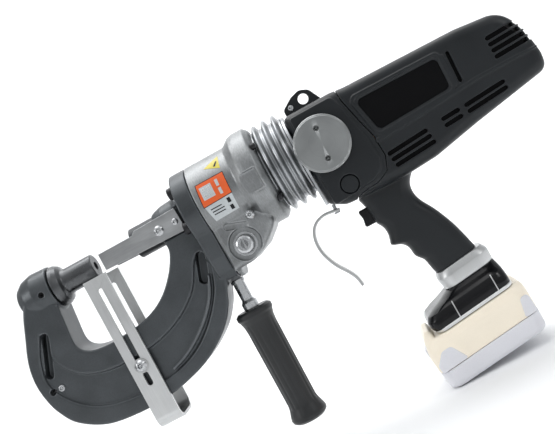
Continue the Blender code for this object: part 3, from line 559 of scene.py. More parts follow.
def c_frame():
    joint = HEAD_JOINT_X - 4
    outline = flow(FRAME_OUTER) + [(116, -75), (joint, -73), (joint, 0), (84, 0)]
    outline += flow(FRAME_INNER)
    recess = flow(RECESS_OUTER) + flow(RECESS_INNER)
    rim = plate("rim", outline, 'Y', -FRAME_HALF, FRAME_HALF, 2.2, [recess])
    web = plate("web", outline, 'Y', -FRAME_HALF + 3.6, FRAME_HALF - 3.6, 1.0)
    nose = lathe("nose", 'X', [(-87.5, 11.4, 2), (-85, 16, 4), (-77, 21.7, 8), (-66, 24.4, 8),
                               (-47, 23.5, 1.2)], soft=2)
    outer_rib = plate("outer_rib", strip(flow(
        [(26, -128.5), (44, -122), (62, -111.5), (80, -97), (94, -80), (102, -62)]), 2.6), 'Y',
        -FRAME_HALF - 0.9, FRAME_HALF + 0.9, 0.8)
    ram_boss = lathe("ram_boss", 'X', [(76, 17.5, 1), (81, 19.5, 3), (88, 21.4, 4), (101, 22.4, 4),
                                       (106, 25, 1), (HEAD_JOINT_X - 5, 25)])
    head = plate("head", arc((0, 0), HEAD_R, -38, 218, 60) + HEAD_FOOT, 'X', HEAD_FRONT_X,
                 HEAD_JOINT_X, 1.6)
    cutters = [
        pin('X', -79, -40, 12.0), pin('X', -100, -70, 9.0), pin('X', 55, 150, 16.25),
        pin('-Y', 12, 40, 3.0, (-57, 0, -0.7)), pin('Y', -40, 40, 3.0, (-96, 0, -93)),
        pin('Y', -40, 40, 3.0, (GAUGE_X, 0, GAUGE_SCREW_Z)),
        pin('Z', -95, -64, 4.9, (HANDLE_X, 0, 0))]
    for side, _, _ in SIDES:
        face = side * FRAME_HALF
        pocket = sorted((face - side * 14, face + side * 4))
        for name, start, end, radius in (("front_pocket", (-76.5, -40), (-91.5, -76), 4.2),
                                         ("rear_pocket", (103.5, -42.5), (95.5, -64), 5.0)):
            cutters.append(plate(name, capsule(start, end, radius), 'Y', *pocket))
        low, high = sorted((side * 18.5, side * 45))
        cutters.append(block((70, low, -13.5), (107.5, high, 13.5), 0.6))
    cutters += [pin('X', 90, 140, 4.2, (0, y, z)) for y, z in HEAD_BOLTS]
    body = fuse("c_frame_casting", [rim, web, nose, outer_rib, ram_boss, head], cutters, 1.0, 2)
    drop(cutters)
    stand_for(body, "c_frame")
    lug = lathe("lug_screw", '-Y', [(15.5, 3.4), (18.8, 3.4, 0.9)], at=(-86.5, 0, -93))
    carve(lug, [pin('-Y', 17.6, 20, 1.6, (-86.5, 0, -93), sides=6)])
    add_on(smooth(lug), "c_frame", "screw_steel")
    for number, (y, z) in enumerate(HEAD_BOLTS, 1):
        seat = HEAD_FRONT_X - 5.8
        bolt = lathe(f"head_bolt_{number}_fine", 'X', [
            (0, 5.4), (0.9, 6.2), (5.5, 6.2), (5.5, 3.9), (29, 3.9)], at=(seat, y, z), sides=48)
        stand_for(smooth(carve(bolt, [pin('X', -1, 3.5, 3.1, (seat, y, z), sides=6)])),
                  f"head_bolt_{number}")


def die():
    body = lathe("die_fine", 'X', [
        (-76, 11.7), (-46.7, 11.7), (-46.7, 20.6, 0.8), (-44.8, 21.8, 1.2), (-41.5, 21.4, 2.5),
        (-37.2, 18.9, 3), (-34.6, 14.2, 3), (-31, 13.2, 3), (0, 13.2, 1.6)],
        [(-76, 6.2), (-14, 6.2), (-14, 4.3), (0, 4.3, 0.5)])
    stand_for(body, "die")
    screw = lathe("die_set_screw_fine", '-Y', [(12.2, 2.8), (21, 2.8)], at=(-57, 0, -0.7), sides=32)
    stand_for(smooth(carve(screw, [pin('-Y', 19, 23, 1.5, (-57, 0, -0.7), sides=6)])),
              "die_set_screw")


def ram_group():
    ram = lathe("ram_fine", 'X', [
        (47.7, 16, 1.0), (172, 16), (172, 29.5), (178.6, 29.5), (178.6, 26), (183.4, 26),
        (183.4, 29.5), (194, 29.5)])
    stand_for(smooth(carve(ram, [pin('X', 40, 72, 7.0), pin('Z', 5, 20, 2.8, (60, 0, 0))])), "ram",
              look="oiled_steel")
    punch = lathe("punch_fine", 'X', [(13, 4, 0.15), (39.5, 4, 2), (45, 6.7, 1), (71.7, 6.7)])
    stand_for(punch, "punch", look="screw_steel")
    screw = lathe("punch_set_screw_fine", 'Z', [(7, 2.5), (14.5, 2.5)], at=(60, 0, 0), sides=32)
    stand_for(smooth(carve(screw, [pin('Z', 12, 16, 1.4, (60, 0, 0), sides=6)])),
              "punch_set_screw")


# ---- Strippers and gauge ----
STRIPPER_OUTLINE = [(14.6, -10, 1.0), (50, -11, 8), (105.5, -12.6, 1.5), (104.5, 12, 1.5),
                    (57.5, 10.8, 1.0), (54, 7.6, 2.0), (14.6, 7.6, 1.0)]


def domed_screw(name, axis, at, head_r, head_h, shank_r, shank_l, node):
    """A low round head over a washer face, with a hexagon socket; at is the face under it."""
    screw = lathe(name, axis, [
        (-shank_l, shank_r), (0, shank_r, 0), (0, head_r, 0.3), (head_h * 0.35, head_r, 0.3),
        (head_h, head_r * 0.62, head_r * 0.3)], at=at, sides=64)
    carve(screw, [pin(axis, head_h * 0.4, head_h + 2, head_r * 0.42, at, sides=6)])
    return stand_for(smooth(screw), node, look="screw_steel")


def strippers():
    for side, tag, axis in SIDES:
        low, high = sorted((side * 18.8, side * 24.2))
        bar = plate("bar", rounded(STRIPPER_OUTLINE, 6), 'Y', low, high, 0.5)
        inner, outer = sorted((side * 5.5, side * 22.5))
        foot = block((14.6, inner, -8), (20.5, outer, 5.6), 0.4)
        holes = [pin(axis, 15, 30, 3.3, (80.5, 0, -0.8)), pin(axis, 15, 30, 2.3, (99, 0, -0.4))]
        carve(bar, [foot], 'UNION')
        body = smooth(carve(bar, holes))
        body.name = f"stripper_{tag}_fine"
        stand_for(body, f"stripper_{tag}")
        drop([foot, *holes])
        for size, x, z, head_r, head_h, shank in (("large", 80.5, -0.8, 5.2, 2.6, 3.0),
                                                  ("small", 99.0, -0.4, 3.4, 1.6, 2.0)):
            node = f"stripper_screw_{size}_{tag}"
            domed_screw(node + "_fine", axis, (x, side * 24.3, z), head_r, head_h, shank, 5.4, node)


def gauge():
    side_y = 22.75
    left = [(-side_y, -11), (-side_y, -150)]
    bend = arc((-side_y + 10, -164.05), 10, 180, 270, 10)
    path = left + bend + [(-y, z) for y, z in (left + bend)[::-1]]
    strap = plate("gauge_fine", strip(path, 2.9), 'X', GAUGE_X - 13.0, GAUGE_X + 13.0, 0.0)
    slots = [plate("slot", capsule((GAUGE_X, top), (GAUGE_X, bottom), 3.0, 12), 'Y', -40, 40)
             for top, bottom in ((-26, GAUGE_SCREW_Z), (-120, -129))]
    carve(strap, slots)
    drop(slots)
    softening = strap.modifiers.new("edges", 'BEVEL')
    softening.width = 0.35 * MM
    softening.segments = 2
    softening.limit_method = 'ANGLE'
    softening.angle_limit = math.radians(50)
    settle(strap)
    stand_for(smooth(strap), "gauge")
    for side, tag, axis in SIDES:
        at = (GAUGE_X, side * 24.5, GAUGE_SCREW_Z)
        domed_screw(f"gauge_screw_{tag}_fine", axis, at, 6.2, 3.8, 2.6, 14,
                    f"gauge_screw_{tag}")
        washer = lathe(f"gauge_washer_{tag}", axis, [(0, 7.6), (0.9, 7.6)], [(0, 2.9), (0.9, 2.9)],
                       at=at, soft=0.2)
        add_on(washer, f"gauge_screw_{tag}", "zinc_sheet")


# ---- Cylinder block, barrel and pump ----
def label(name, corners, radius, look, steps=10):
    """A thin sticker wrapped on the block's cylinder, from four (x, z) corners in turn."""
    form = bmesh.new()
    layers = []
    for lift in (0.05, 0.17):
        grid = []
        for i in range(steps + 1):
            start = Vector(corners[0]).lerp(Vector(corners[3]), i / steps)
            end = Vector(corners[1]).lerp(Vector(corners[2]), i / steps)
            line = []
            for k in range(steps + 1):
                x, z = start.lerp(end, k / steps)
                turn = z / radius
                reach = radius + lift
                line.append(form.verts.new((x, -reach * math.cos(turn), reach * math.sin(turn))))
            grid.append(line)
        layers.append(grid)
    for i in range(steps):
        for k in range(steps):
            for grid in layers:
                form.faces.new((grid[i][k], grid[i][k + 1], grid[i + 1][k + 1], grid[i + 1][k]))
    rim = ([(0, k) for k in range(steps)] + [(i, steps) for i in range(steps)]
           + [(steps, k) for k in range(steps, 0, -1)] + [(i, 0) for i in range(steps, 0, -1)])
    for (i, k), (m, n) in zip(rim, rim[1:] + rim[:1]):
        form.faces.new((layers[0][i][k], layers[0][m][n], layers[1][m][n], layers[1][i][k]))
    return add_on(shaped(name, form), "cylinder_block", look)


def square(x, z, width, height):
    return [(x, z), (x + width, z), (x + width, z - height), (x, z - height)]


def labels():
    """Plain stickers with blocks and bars in place of any print."""
    pattern = [(139.5, 14, 3.2, 3.2), (145.6, 13.8, 3, 3), (139.8, 7, 3, 3), (144.2, 9.2, 2.2, 2.2),
               (146.8, 6, 1.8, 1.8), (143.4, 5.4, 1.6, 1.6)]
    marks = [(157.5, -5.5, 3.4, 5), (157.2, -13, 3.4, 5), (139, -8, 12, 1), (139.5, -11, 13, 1),
             (140, -14, 12, 1)]
    rows = [("orange_edge", [(135.3, 20.2), (166.1, 20.2), (165.6, -3.2), (133.8, -4.2)], -0.04,
             "print"),
            ("orange", [(136, 19.5), (165.5, 19.5), (165, -2.6), (134.5, -3.6)], 0.02,
             "orange_label"),
            ("orange_square", square(138, 15.5, 12.5, 13.5), 0.15, "white_label")]
    rows += [(f"pattern_{number}", square(*box), 0.3, "zinc_sheet", 3)
             for number, box in enumerate(pattern)]
    rows += [("orange_bar_1", square(155, 16, 3, 7), 0.15, "white_label"),
             ("orange_bar_2", square(155, 7, 3, 6.5), 0.15, "white_label"),
             ("white", [(135, -4.4), (164.8, -3.4), (164, -20), (138, -21)], 0, "white_label")]
    rows += [(f"mark_{number}", square(*box), 0.15, "print", 3)
             for number, box in enumerate(marks)]
    rows += [("yellow", [(166.2, 41.5), (166.8, 41.3), (165.4, 24.6), (149.6, 33.4)], 0,
              "yellow_label"),
             ("yellow_mark", [(163.2, 35.5), (164.4, 34.9), (161.4, 29.2), (159.4, 30.3)], 0.15,
              "print", 3)]
    for name, corners, lift, look, *grid in rows:
        label("label_" + name, corners, HEAD_R + lift, look, *grid)


def cylinder_block():
    barrel = lathe("barrel", 'X', [
        (HEAD_JOINT_X + 0.3, HEAD_R, 1), (173, HEAD_R, 3), (181, 48.5, 3), (186, 50, 2),
        (198, 50, 2.5), (202.5, 45.5, 1.5), (203.3, 42)])
    foot = plate("foot", arc((0, 0), HEAD_R - 0.8, -38, 218, 60) + HEAD_FOOT, 'X',
                 HEAD_JOINT_X + 0.3, HEAD_JOINT_X + 6, 1.2)
    lobe = pillow("lobe", [(128.8, -14, 1), (187, -14, 1), (187, -46, 4), (181, -53, 12),
                           (168, -64, 18), (151, -71, 18), (128.8, -72, 1)], 33, 6, 6)
    cutters = [
        lathe("bore", 'X', [(110, 18.9), (141, 18.9), (141, 30), (230, 30)], sides=90, soft=0,
              phase=0.011),
        lathe("knob_seat", '-Y', [(16, 5.3), (30.2, 5.3), (30.2, 16.5), (60, 16.5)], at=KNOB,
              sides=64, soft=0, phase=0.017),
        pin('-Y', 31, 60, 3.3, (170, 0, -30)),
        block((176, -60, -14.5), (196.5, -46.2, 8), 2.0),
        block((176, 46.2, -14.5), (196.5, 60, 8), 2.0)]
    cutters += [pin('X', 120, 137, 4.2, (0, y, z)) for y, z in HEAD_BOLTS]
    notches = [(45.0 * math.sin(math.radians(a)), 45.0 * math.cos(math.radians(a)))
               for a in (-130, -55, 55, 130)]
    cutters += [pin('X', 200.5, 210, 3.9, (0, y, z)) for y, z in notches]
    cutters += [plate("grease_pocket", capsule((143, -30), (160, -36), 3.2), 'Y', -60, -31.2)]
    body = fuse("cylinder_block_fine", [barrel, foot, lobe], cutters, 1.0, 4)
    drop(cutters)
    stand_for(body, "cylinder_block")
    for number, (y, z) in enumerate(notches, 1):
        bolt = lathe(f"collar_bolt_{number}", 'X', [(200.6, 3.4), (205.4, 3.4)], at=(0, y, z),
                     sides=32)
        socket = pin('X', 202.5, 207, 1.8, (0, y, z), sides=6)
        add_on(smooth(carve(bolt, [socket])), "cylinder_block", "black_screw")
    knob = lathe("release_knob_fine", '-Y', [
        (17, 5), (31.3, 5), (31.3, 8.6, 0.5), (33.5, 8.6, 0.3), (34.2, 8.0, 0.3), (35, 8.6, 0.3),
        (39.4, 8.6, 1.0), (40.5, 6.6, 1.2)], at=KNOB,
        ripple=lambda along, turn: 1 + (0.012 * math.cos(24 * turn) if 35.2 < along < 39.2 else 0))
    slot = block((KNOB[0] - 1.1, -43, KNOB[2] - 6), (KNOB[0] + 1.1, -38.6, KNOB[2] + 6), 0.2)
    stand_for(smooth(carve(knob, [slot])), "release_knob", look="screw_steel")
    domed_screw("oil_screw_fine", '-Y', (170, -41.5, -30), 4.6, 3.2, 3.0, 9, "oil_screw")
    ring = lathe("knob_ring", '-Y', [(30.3, 11.8), (31.3, 11.8)], [(30.3, 9.4), (31.3, 9.4)],
                 at=KNOB, soft=0.3)
    add_on(ring, "cylinder_block", "screw_steel")
    labels()


def finned_barrel():
    shape = [(203.6, 40.5)]
    for fin in range(3):
        tip = 209.0 + fin * 10.7
        shape += [(tip - 3.5, 40.7, 1.2), (tip - 1.4, 46.0, 0.9), (tip, 46.8, 0.8),
                  (tip + 1.4, 46.0, 0.9), (tip + 3.5, 40.7, 1.2)]
        if fin < 2:
            shape += [(tip + 5.0, 40.7, 0.2), (tip + 5.35, 40.2, 0.2), (tip + 5.7, 40.7, 0.2)]
    shape.append((236.2, 40.5))
    body = lathe("finned_barrel_fine", 'X', shape,
                 [(203.6, 12), (207.6, 12), (207.6, 30), (236.2, 30)], sides=128)
    stand_for(body, "finned_barrel")
    flange = plate("pump_flange_fine", arc((0, 0), 40, -55, 235, 60)
                   + [(-12, -50), (-9, -57.5), (9, -57.5), (12, -50)], 'X', 236.5, 239.6, 0.5,
                   [arc((0, 0), 20, 0, 350, 35)])
    stand_for(flange, "pump_flange")


def pump():
    centre = (PUMP_X, 0, PUMP_Z)
    core = lathe("core", 'X', [(240.6, 32), (286, 32)], at=(0, 0, PUMP_Z), sides=64)
    cross = lathe("cross", 'Y', [(-47, 25.3), (47, 25.3)], at=centre, sides=64,
                  phase=0.02)
    cutters = [pin('X', 247, 300, 16, (0, 0, PUMP_Z)), pin('Y', -60, 60, 5.3, centre),
               pin('Y', 37, 60, 21.9, centre), pin('-Y', 37, 60, 21.9, centre),
               block((200, -70, -70), (240.3, 70, 70), 0.0)]
    carve(core, [cross], 'UNION')
    carve(core, cutters)
    drop([cross, *cutters])
    core.name = "pump_body_fine"
    stand_for(smooth(core), "pump_body")
    for side, tag, axis in SIDES:
        cap = lathe("end_cap_" + tag + "_fine", axis, [
            (38.5, 21.5), (47.3, 21.5, 0), (47.3, CAP_R, 0.4), (50.7, CAP_R, 0.9),
            (51.4, CAP_R - 0.9, 0.3), (51.35, CAP_R - 1.5, 0.2), (51.9, CAP_R - 2.0, 0.2),
            (52.0, CAP_R - 3, 0)], at=centre, sides=160)
        holes = [pin(axis, 48, 55, 2.2, (PUMP_X + turn * 1.6, 0, PUMP_Z + turn * 15), sides=32)
                 for turn in (1, -1)]
        carve(cap, holes)
        stand_for(smooth(cap), "end_cap_" + tag, look="spun_aluminium")
        # Paler steel rings round each spanner hole: a painted highlight for the glints on the
        # holes' edges.
        for turn, hand in ((1, "upper"), (-1, "lower")):
            spot = (PUMP_X + turn * 1.6, 0, PUMP_Z + turn * 15)
            rim = lathe(f"spanner_rim_{hand}_{tag}", axis, [(51.5, 2.9), (52.0, 2.9)],
                        [(51.5, 2.2), (52.0, 2.2)], at=spot, sides=32, soft=0.15)
            add_on(rim, "end_cap_" + tag, "screw_steel")


# ---- Housings and grip ----
BODY_OUTLINE = [(240, 36, 6), (290, 36, 40), (305, 34.2, 40), (420, 31.4, 60), (463, 26.4, 30),
                (476.5, 4, 40), (481, -26, 22), (479, -41.5, 20), (400, -55.8, 60),
                (352, -65.8, 40), (318, -68.2, 40), (256, -66, 20), (240, -57.5, 8)]
GRIP_REAR = [(-52, 346), (-58, 338), (-68, 326), (-77, 319), (-86, 317.5), (-96, 320),
             (-112, 329), (-131, 337), (-148, 342), (-168, 347), (-180, 350)]
GRIP_FRONT = [(-52, 259), (-60, 262), (-72, 268), (-84, 270), (-95, 271), (-101, 274.5),
              (-106, 276.2), (-112, 276.4), (-118, 275), (-122, 274), (-123.8, 277),
              (-126, 283), (-130, 287), (-134, 288.6), (-140, 289.3), (-143, 290.2),
              (-147, 293.5), (-150.5, 296), (-162, 298.5), (-174, 302), (-180, 303)]
SEAM = [(293.5, 60), (297, 22), (303, -3), (308, -20), (309, -42), (304, -55), (292, -61),
        (278, -62), (268, -64.6), (262, -80)]


def between(points, at):
    """The value at one place of a line through (place, value) points that fall in place."""
    for (place, value), (end, last) in zip(points, points[1:]):
        if end <= at <= place:
            return value + (last - value) * (at - place) / (end - place)
    raise ValueError(at)


def grip_sections(wall=0.0):
    """The grip's level sections from top to bottom, each moved in by the wall."""
    front, rear = flow(GRIP_FRONT, 5), flow(GRIP_REAR, 5)
    levels = [-53 - 1.6 * k for k in range(79)]
    return [(z, between(front, z) + wall, between(rear, z) - wall, 17 - wall, 12.5 - wall)
            for z in levels]


def vent_cutters(side):
    """Rounded cooling slots: (start x, end x, start z, end z), rising a little to the rear."""
    low, high = sorted((side * 25, side * 60))
    slots = [(442, 500, 8.2 - 6.3 * row, 10.4 - 6.3 * row) for row in range(4)]
    for row in range(2):
        slots.append((397, 436, -36.6 - 6.4 * row, -33.8 - 6.0 * row))
        slots.append((372.4, 388, -37.8 - 6.6 * row, -37.0 - 6.4 * row))
    for row in range(3):
        slots.append((313.4 + row, 353 + row, -42.5 - 6.4 * row, -39.6 - 6.4 * row))
    return [plate("vent", capsule((x, z), (end, rise), 2.1, 6), 'Y', low, high)
            for x, end, z, rise in slots]


def housings():
    cavity = pillow("cavity", inset(BODY_OUTLINE, 3.4), 35.6, 8, 3)
    grip_cavity = loft("grip_cavity", grip_sections(3.6), TOOL)
    front = SEAM + [(225, -80), (225, 60)]
    rear = ([(530, 60), (530, -230), (240, -230), (240, -80.5)]
            + [(x + 0.7, z) for x, z in SEAM][::-1])
    trim = block((-80, -50, -80), (80, 50, 74.4), 0.0, BATTERY)
    for side, tag, axis in SIDES:
        low, high = sorted((side * 0.12, side * 90))
        face = side * 39.0
        region = plate("front_region", front, 'Y', low, high)
        cover = pillow("cover", BODY_OUTLINE, 39, 11)
        carve(cover, [region], 'INTERSECT')
        plug_low, plug_high = sorted((face - side * 1.3, face + side * 5))
        cutters = [cavity, pin('Y', -60, 60, 25.8, (PUMP_X, 0, PUMP_Z), sides=96),
                   pin('Y', plug_low, plug_high, 9.4, (267.4, 0, -49.8))]
        ridge = plate("ridge", rounded([
            (246, -61, 3), (246, 31.5, 3), (290, 31.5, 6), (293.5, 22, 10), (298.5, -3, 10),
            (303, -20, 10), (304.3, -40, 10), (300, -51, 8), (290, -57, 6), (276, -58.5, 4),
            (262, -60, 4)], 6), 'Y', *sorted((face - side * 6, face + side * 1.6)), 0.5)
        body = fuse("gear_cover_" + tag + "_fine", [cover, ridge], cutters, 0.9, 2)
        drop([region, *cutters[1:]])
        stand_for(body, "gear_cover_" + tag)
        plug = lathe("cover_plug_" + tag, axis, [(37.9, 8.2), (40.7, 8.2, 0.7)],
                     at=(267.4, 0, -49.8))
        add_on(plug, "gear_cover_" + tag, "black_plastic")

        region = plate("rear_region", rear, 'Y', low, high)
        shell = pillow("shell", BODY_OUTLINE, 39, 11)
        grip = loft("grip", grip_sections(), TOOL)
        for part in (shell, grip):
            carve(part, [region], 'INTERSECT')
        in_low, in_high = sorted((side * 37.6, side * 50))
        groove_low, groove_high = sorted((face - side * 4.2, face + side * 5))
        cutters = [cavity, grip_cavity, trim,
                   block((240, -7, -96.5), (284, 7, -76.5), 1.0),
                   plate("panel_seat", rounded([
                       (308.0, 16.8, 5), (393.0, 15.8, 5), (392.0, -15.6, 5), (315.6, -18.6, 6)],
                       6), 'Y', in_low, in_high),
                   plate("slot", capsule((404, 14.5), (402.8, -14), 1.7, 6), 'Y', groove_low,
                         groove_high)]
        cutters += vent_cutters(side)
        rib_low, rib_high = sorted((face - side * 3, face + side * 1.5))
        rib = plate("rib", capsule((398.2, 14), (397.6, -14.5), 1.5, 8), 'Y', rib_low, rib_high,
                    0.5)
        border = plate("border", rounded([
            (302.6, 22.4, 6), (397.2, 20.6, 6), (396.2, -19.6, 6), (312, -23.6, 6)], 6), 'Y',
            rib_low, rib_high, 0.4, [rounded([(305.4, 19.4, 5), (395.0, 18.0, 5), (394, -17.6, 5),
                                              (314, -20.8, 5)], 6)])
        line = plate("line", rounded([
            (308, -24.5, 1), (375, -20.5, 8), (420, -17.8, 8), (478, -18.6, 1), (478, -20.6, 1),
            (420, -20.4, 8), (376, -23.8, 8), (308, -28, 1)], 6), 'Y', rib_low, rib_high, 0.4)
        body = fuse("motor_housing_" + tag + "_fine", [shell, grip, rib, border, line],
                    cutters, 0.95, 2)
        drop([region, *cutters[3:]])
        stand_for(body, "motor_housing_" + tag)
        # A near-black sheet just inside the wall behind the vents: painted shade standing in for
        # the dark interior seen through the slots.
        shade_sheet_low, shade_sheet_high = sorted((side * 34.5, side * 35.1))
        shade_sheet = plate("vent_screen_" + tag, rounded([
            (311, 26, 1), (420, 23, 8), (456, 19, 10), (469, 0, 10), (473, -26, 6), (470, -35, 6),
            (400, -48, 10), (352, -57, 10), (318, -61, 6), (310.6, -58, 1)], 4), 'Y', shade_sheet_low,
            shade_sheet_high)
        add_on(shade_sheet, "motor_housing_" + tag, "panel_black")
        plate_low, plate_high = sorted((side * 37.9, side * 38.7))
        panel = plate("side_plate_" + tag + "_fine", rounded([
            (308.6, 16.2, 5), (392.4, 15.2, 5), (391.4, -15.0, 5), (316.1, -18.0, 6)], 6), 'Y',
            plate_low, plate_high, 0.3)
        stand_for(panel, "side_plate_" + tag, look="panel_black")
    drop([cavity, grip_cavity, trim])


def eye_and_guard():
    outline = rounded([(243.5, 36.1, 0), (243.5, 45.0, 5), (256, 53.0, 8), (266, 56.0, 8),
                       (275, 52.0, 8), (283, 36.1, 0)], 8)
    hole = arc((266.2, 46.2), 5.4, 0, 352, 44)
    eye = plate("hanging_eye_fine", outline, 'Y', -2.6, 2.6, 0.9, [hole])
    stand_for(eye, "hanging_eye")
    screw = lathe("eye_screw", '-Y', [(2.0, 2.9), (3.7, 2.9, 0.7)], at=(251.3, 0, 43.6), sides=40)
    cross = [block((250.9, -5, 41.6), (251.7, -3.1, 45.6), 0.0),
             block((249.3, -5, 43.2), (253.3, -3.1, 44.0), 0.0)]
    add_on(smooth(carve(screw, cross)), "hanging_eye", "screw_steel")
    drop(cross)
    line = flow([(246.5, -67.4), (240, -66.0), (229, -65.0), (219, -68.5), (212.8, -76),
                 (210.0, -87), (211.2, -100), (216.8, -114), (225, -126.5), (229.2, -135),
                 (231, -144.5)], 8)
    strap = plate("hand_guard_fine", strip(line, 2.8), 'Y', -7, 7, 0.8)
    stand_for(strap, "hand_guard")
    fixing = lathe("guard_screw", 'Z', [(-69.9, 3.2, 0.8), (-68.4, 3.2, 0.2), (-68.4, 1.8),
                                        (-60, 1.8)], at=(242.5, 0, 0), sides=40)
    add_on(fixing, "hand_guard", "screw_steel")


def trigger():
    blade = rounded([(-7.7, -9.0, 2.2), (17, -9.0, 1), (17, 8.6, 1), (-7.7, 8.6, 2.2),
                     (-5.9, 0, 14)], 8)
    body = plate("trigger_fine", [(268 + x, -86.5 + z) for x, z in blade], 'Y', -6.3, 6.3, 1.6,
                 steps=5)
    stand_for(body, "trigger")


# ---- Battery, adapter and band ----
def battery():
    band = loft("grip_band_fine", [
        (56.3, -7, 46, 21.2, 13), (57.2, -8, 47, 22, 14), (67, -8.5, 48, 22, 14),
        (68.4, -8.4, 47.9, 21.8, 14), (73.2, -6.4, 45.4, 19.4, 13), (74.1, -5.6, 44.6, 18.6, 13)])
    hollow = loft("hollow", [(50, -2, 40, 15.5, 10), (80, -2, 38, 15.5, 10)])
    stand_for(smooth(carve(band, [hollow])), "grip_band")
    drop([hollow])

    adapter = loft("adapter_body", [
        (28.3, -35, 45.5, 32.5, 8), (29.2, -36.5, 46.3, 33.2, 9), (31.5, -39, 46.5, 34, 10),
        (36, -41, 47.2, 34.3, 11), (41, -41.3, 47.5, 33.8, 12.5), (46, -38, 47.5, 32, 13),
        (49, -30, 47.3, 29, 13.5), (52, -19, 47, 25.5, 14), (55.9, -8, 46.5, 21.5, 13.5)])
    for number, low in enumerate((-12.4, 31.2), 1):
        rib = loft(f"adapter_rib_{number}", [
            (29, low, low + 1.1, 34.3, 0.5), (36, low + 0.6, low + 1.7, 35.0, 0.5),
            (43, low + 1.4, low + 2.5, 34.2, 0.5), (48, low + 2, low + 3.1, 31.2, 0.5)])
        add_on(rib, "battery_adapter", "zinc_sheet")
    hollow = loft("hollow", [(20, -28, 42, 28, 8), (40, -30, 43, 28, 8), (60, 0, 40, 15, 9)])
    body = fuse("battery_adapter_fine", [adapter], [hollow], 0.9, 3)
    stand_for(body, "battery_adapter")
    drop([hollow])
    foot = loft("adapter_foot", [(28.35, -35.4, 45.7, 33.0, 8.5), (28.8, -37.2, 46.7, 34.2, 9.5),
                                 (31.2, -38.9, 47.0, 34.6, 10.2), (31.8, -38.4, 46.4, 34.0, 10)])
    inside = loft("inside", [(20, -33, 44, 31.5, 8), (40, -36, 44.5, 32.5, 9)])
    add_on(smooth(carve(foot, [inside])), "battery_adapter", "zinc_sheet")
    drop([inside])

    upper = loft("upper", [
        (-3.7, -58.3, 51.8, 37.3, 12), (-3.0, -58.5, 52, 37.5, 12), (12, -58.5, 53.5, 37.5, 13),
        (19, -57.2, 54, 37.2, 13), (23, -55.4, 53.8, 36.2, 13), (26.4, -52.5, 52.6, 34.4, 12.5),
        (27.9, -50, 51, 32.4, 12)])
    lip = loft("lip", [(20, -56.4, -43, 33, 6), (28, -54.6, -42.8, 31.5, 6),
                       (33, -52, -43.2, 28, 5), (36.6, -49.2, -44.6, 24, 2)])
    well = loft("well", [(-10, -50, 44, 31, 5), (23, -50, 44, 31, 5)])
    mouth = block((-70, -10, 8), (-45, 10, 19.5), 0.6, BATTERY)
    body = fuse("battery_upper_case_fine", [upper, lip], [well, mouth], 1.0, 4)
    stand_for(body, "battery_upper_case")
    drop([well, mouth])

    lower = loft("lower", [
        (-23.4, -52.6, 45.6, 32.4, 8), (-22.8, -54.4, 47.2, 34.2, 9), (-20.8, -57, 49.5, 36.5, 11),
        (-18, -57.9, 50.4, 37.3, 12), (-4, -58.5, 52, 37.5, 12)])
    well = loft("well", [(-20.4, -50, 44, 31, 5), (0, -50, 44, 31, 5)])
    body = fuse("battery_lower_case_fine", [lower], [well], 1.0, 3)
    stand_for(body, "battery_lower_case")
    drop([well])
    for side, tag, _ in SIDES:
        low, high = sorted((side * 30, side * 38.1))
        for number, corners in enumerate((
                [(-56.2, -3.4, 1), (-27, -3.4, 2), (-35.5, 15, 5), (-46, 15, 5), (-56.2, 4, 4)],
                [(37, -3.4, 2), (50.6, -3.4, 1), (51.4, 14, 4), (43, 16, 5)]), 1):
            cheek = plate(f"battery_cheek_{tag}_{number}", rounded(corners, 6), 'Y', low, high,
                          1.0, place=BATTERY)
            add_on(cheek, "battery_upper_case", "grey_plastic")
    latch = block((-59.5, -9.4, 8.6), (-46.5, 9.4, 18.9), 1.4, BATTERY)
    latch.name = "battery_latch_fine"
    stand_for(latch, "battery_latch")


def handle():
    stud = lathe("handle_stud_fine", 'Z', [
        (-229, 6), (-112.6, 6, 0), (-112.6, 8.2), (-106, 8.2), (-103, 6, 0.5), (-84, 6, 0),
        (-84, 7.3), (-80.4, 7.3), (-80.4, 4.5), (-66, 4.5)], at=(HANDLE_X, 0, 0))
    stand_for(stud, "handle_stud", look="screw_steel")

    def flutes(along, turn):
        fade = min(max((-128 - along) / 10, 0), 1) * min(max((along + 226) / 10, 0), 1)
        return 1 - 0.045 * fade * (0.5 - 0.5 * math.cos(16 * turn)) ** 3
    outer = [(-239.5, 10, 1), (-238.6, 15, 2), (-236, 18.6, 2), (-233, 19.4, 2), (-229.5, 18.6, 3),
             (-222, 16.2, 4)]
    outer += [(-218 + 7 * k, 15.6 + 0.05 * k, 0) for k in range(13)]
    outer += [(-127, 16.8, 3), (-122, 18.2, 2), (-119.5, 19.6, 1), (-115.5, 19.6, 1.2),
              (-113, 16.5, 1)]
    grip = lathe("handle_grip_fine", 'Z', outer, [(-230, 6.3), (-113, 6.3)], at=(HANDLE_X, 0, 0),
                 sides=128, ripple=flutes)
    stand_for(grip, "handle_grip")


def spring(node, start, end, radius, wire, turns, z):
    """A coil spring along X that replaces the CAD one and rides on its body."""
    rings = []
    count = round(turns * SPRING_STEPS)
    for i in range(count + 1):
        spin = 2 * math.pi * i / SPRING_STEPS
        along = start + wire + (end - start - 2 * wire) * i / count
        rings.append([])
        for j in range(WIRE_SIDES):
            tilt = 2 * math.pi * j / WIRE_SIDES
            reach = radius + wire * math.cos(tilt)
            rings[-1].append((along + wire * math.sin(tilt), reach * math.cos(spin),
                              z + reach * math.sin(spin)))
    coil = smooth(skin(node + "_fine", rings))
    stand_for(coil, node)
    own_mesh(coil)


def inner_pieces():
    """The two springs, and the finish of the CAD pieces that keep their own shape."""
    spring("return_spring", 142, 171.6, 23.5, 1.6, 3.3, 0)
    spring("trigger_spring", 285.3, 293.2, 4.0, 0.5, 3, -86.5)
    for name, piece in frame["nodes"].items():
        if not piece.hide_render:
            paint(piece, SLOT_OF[name])


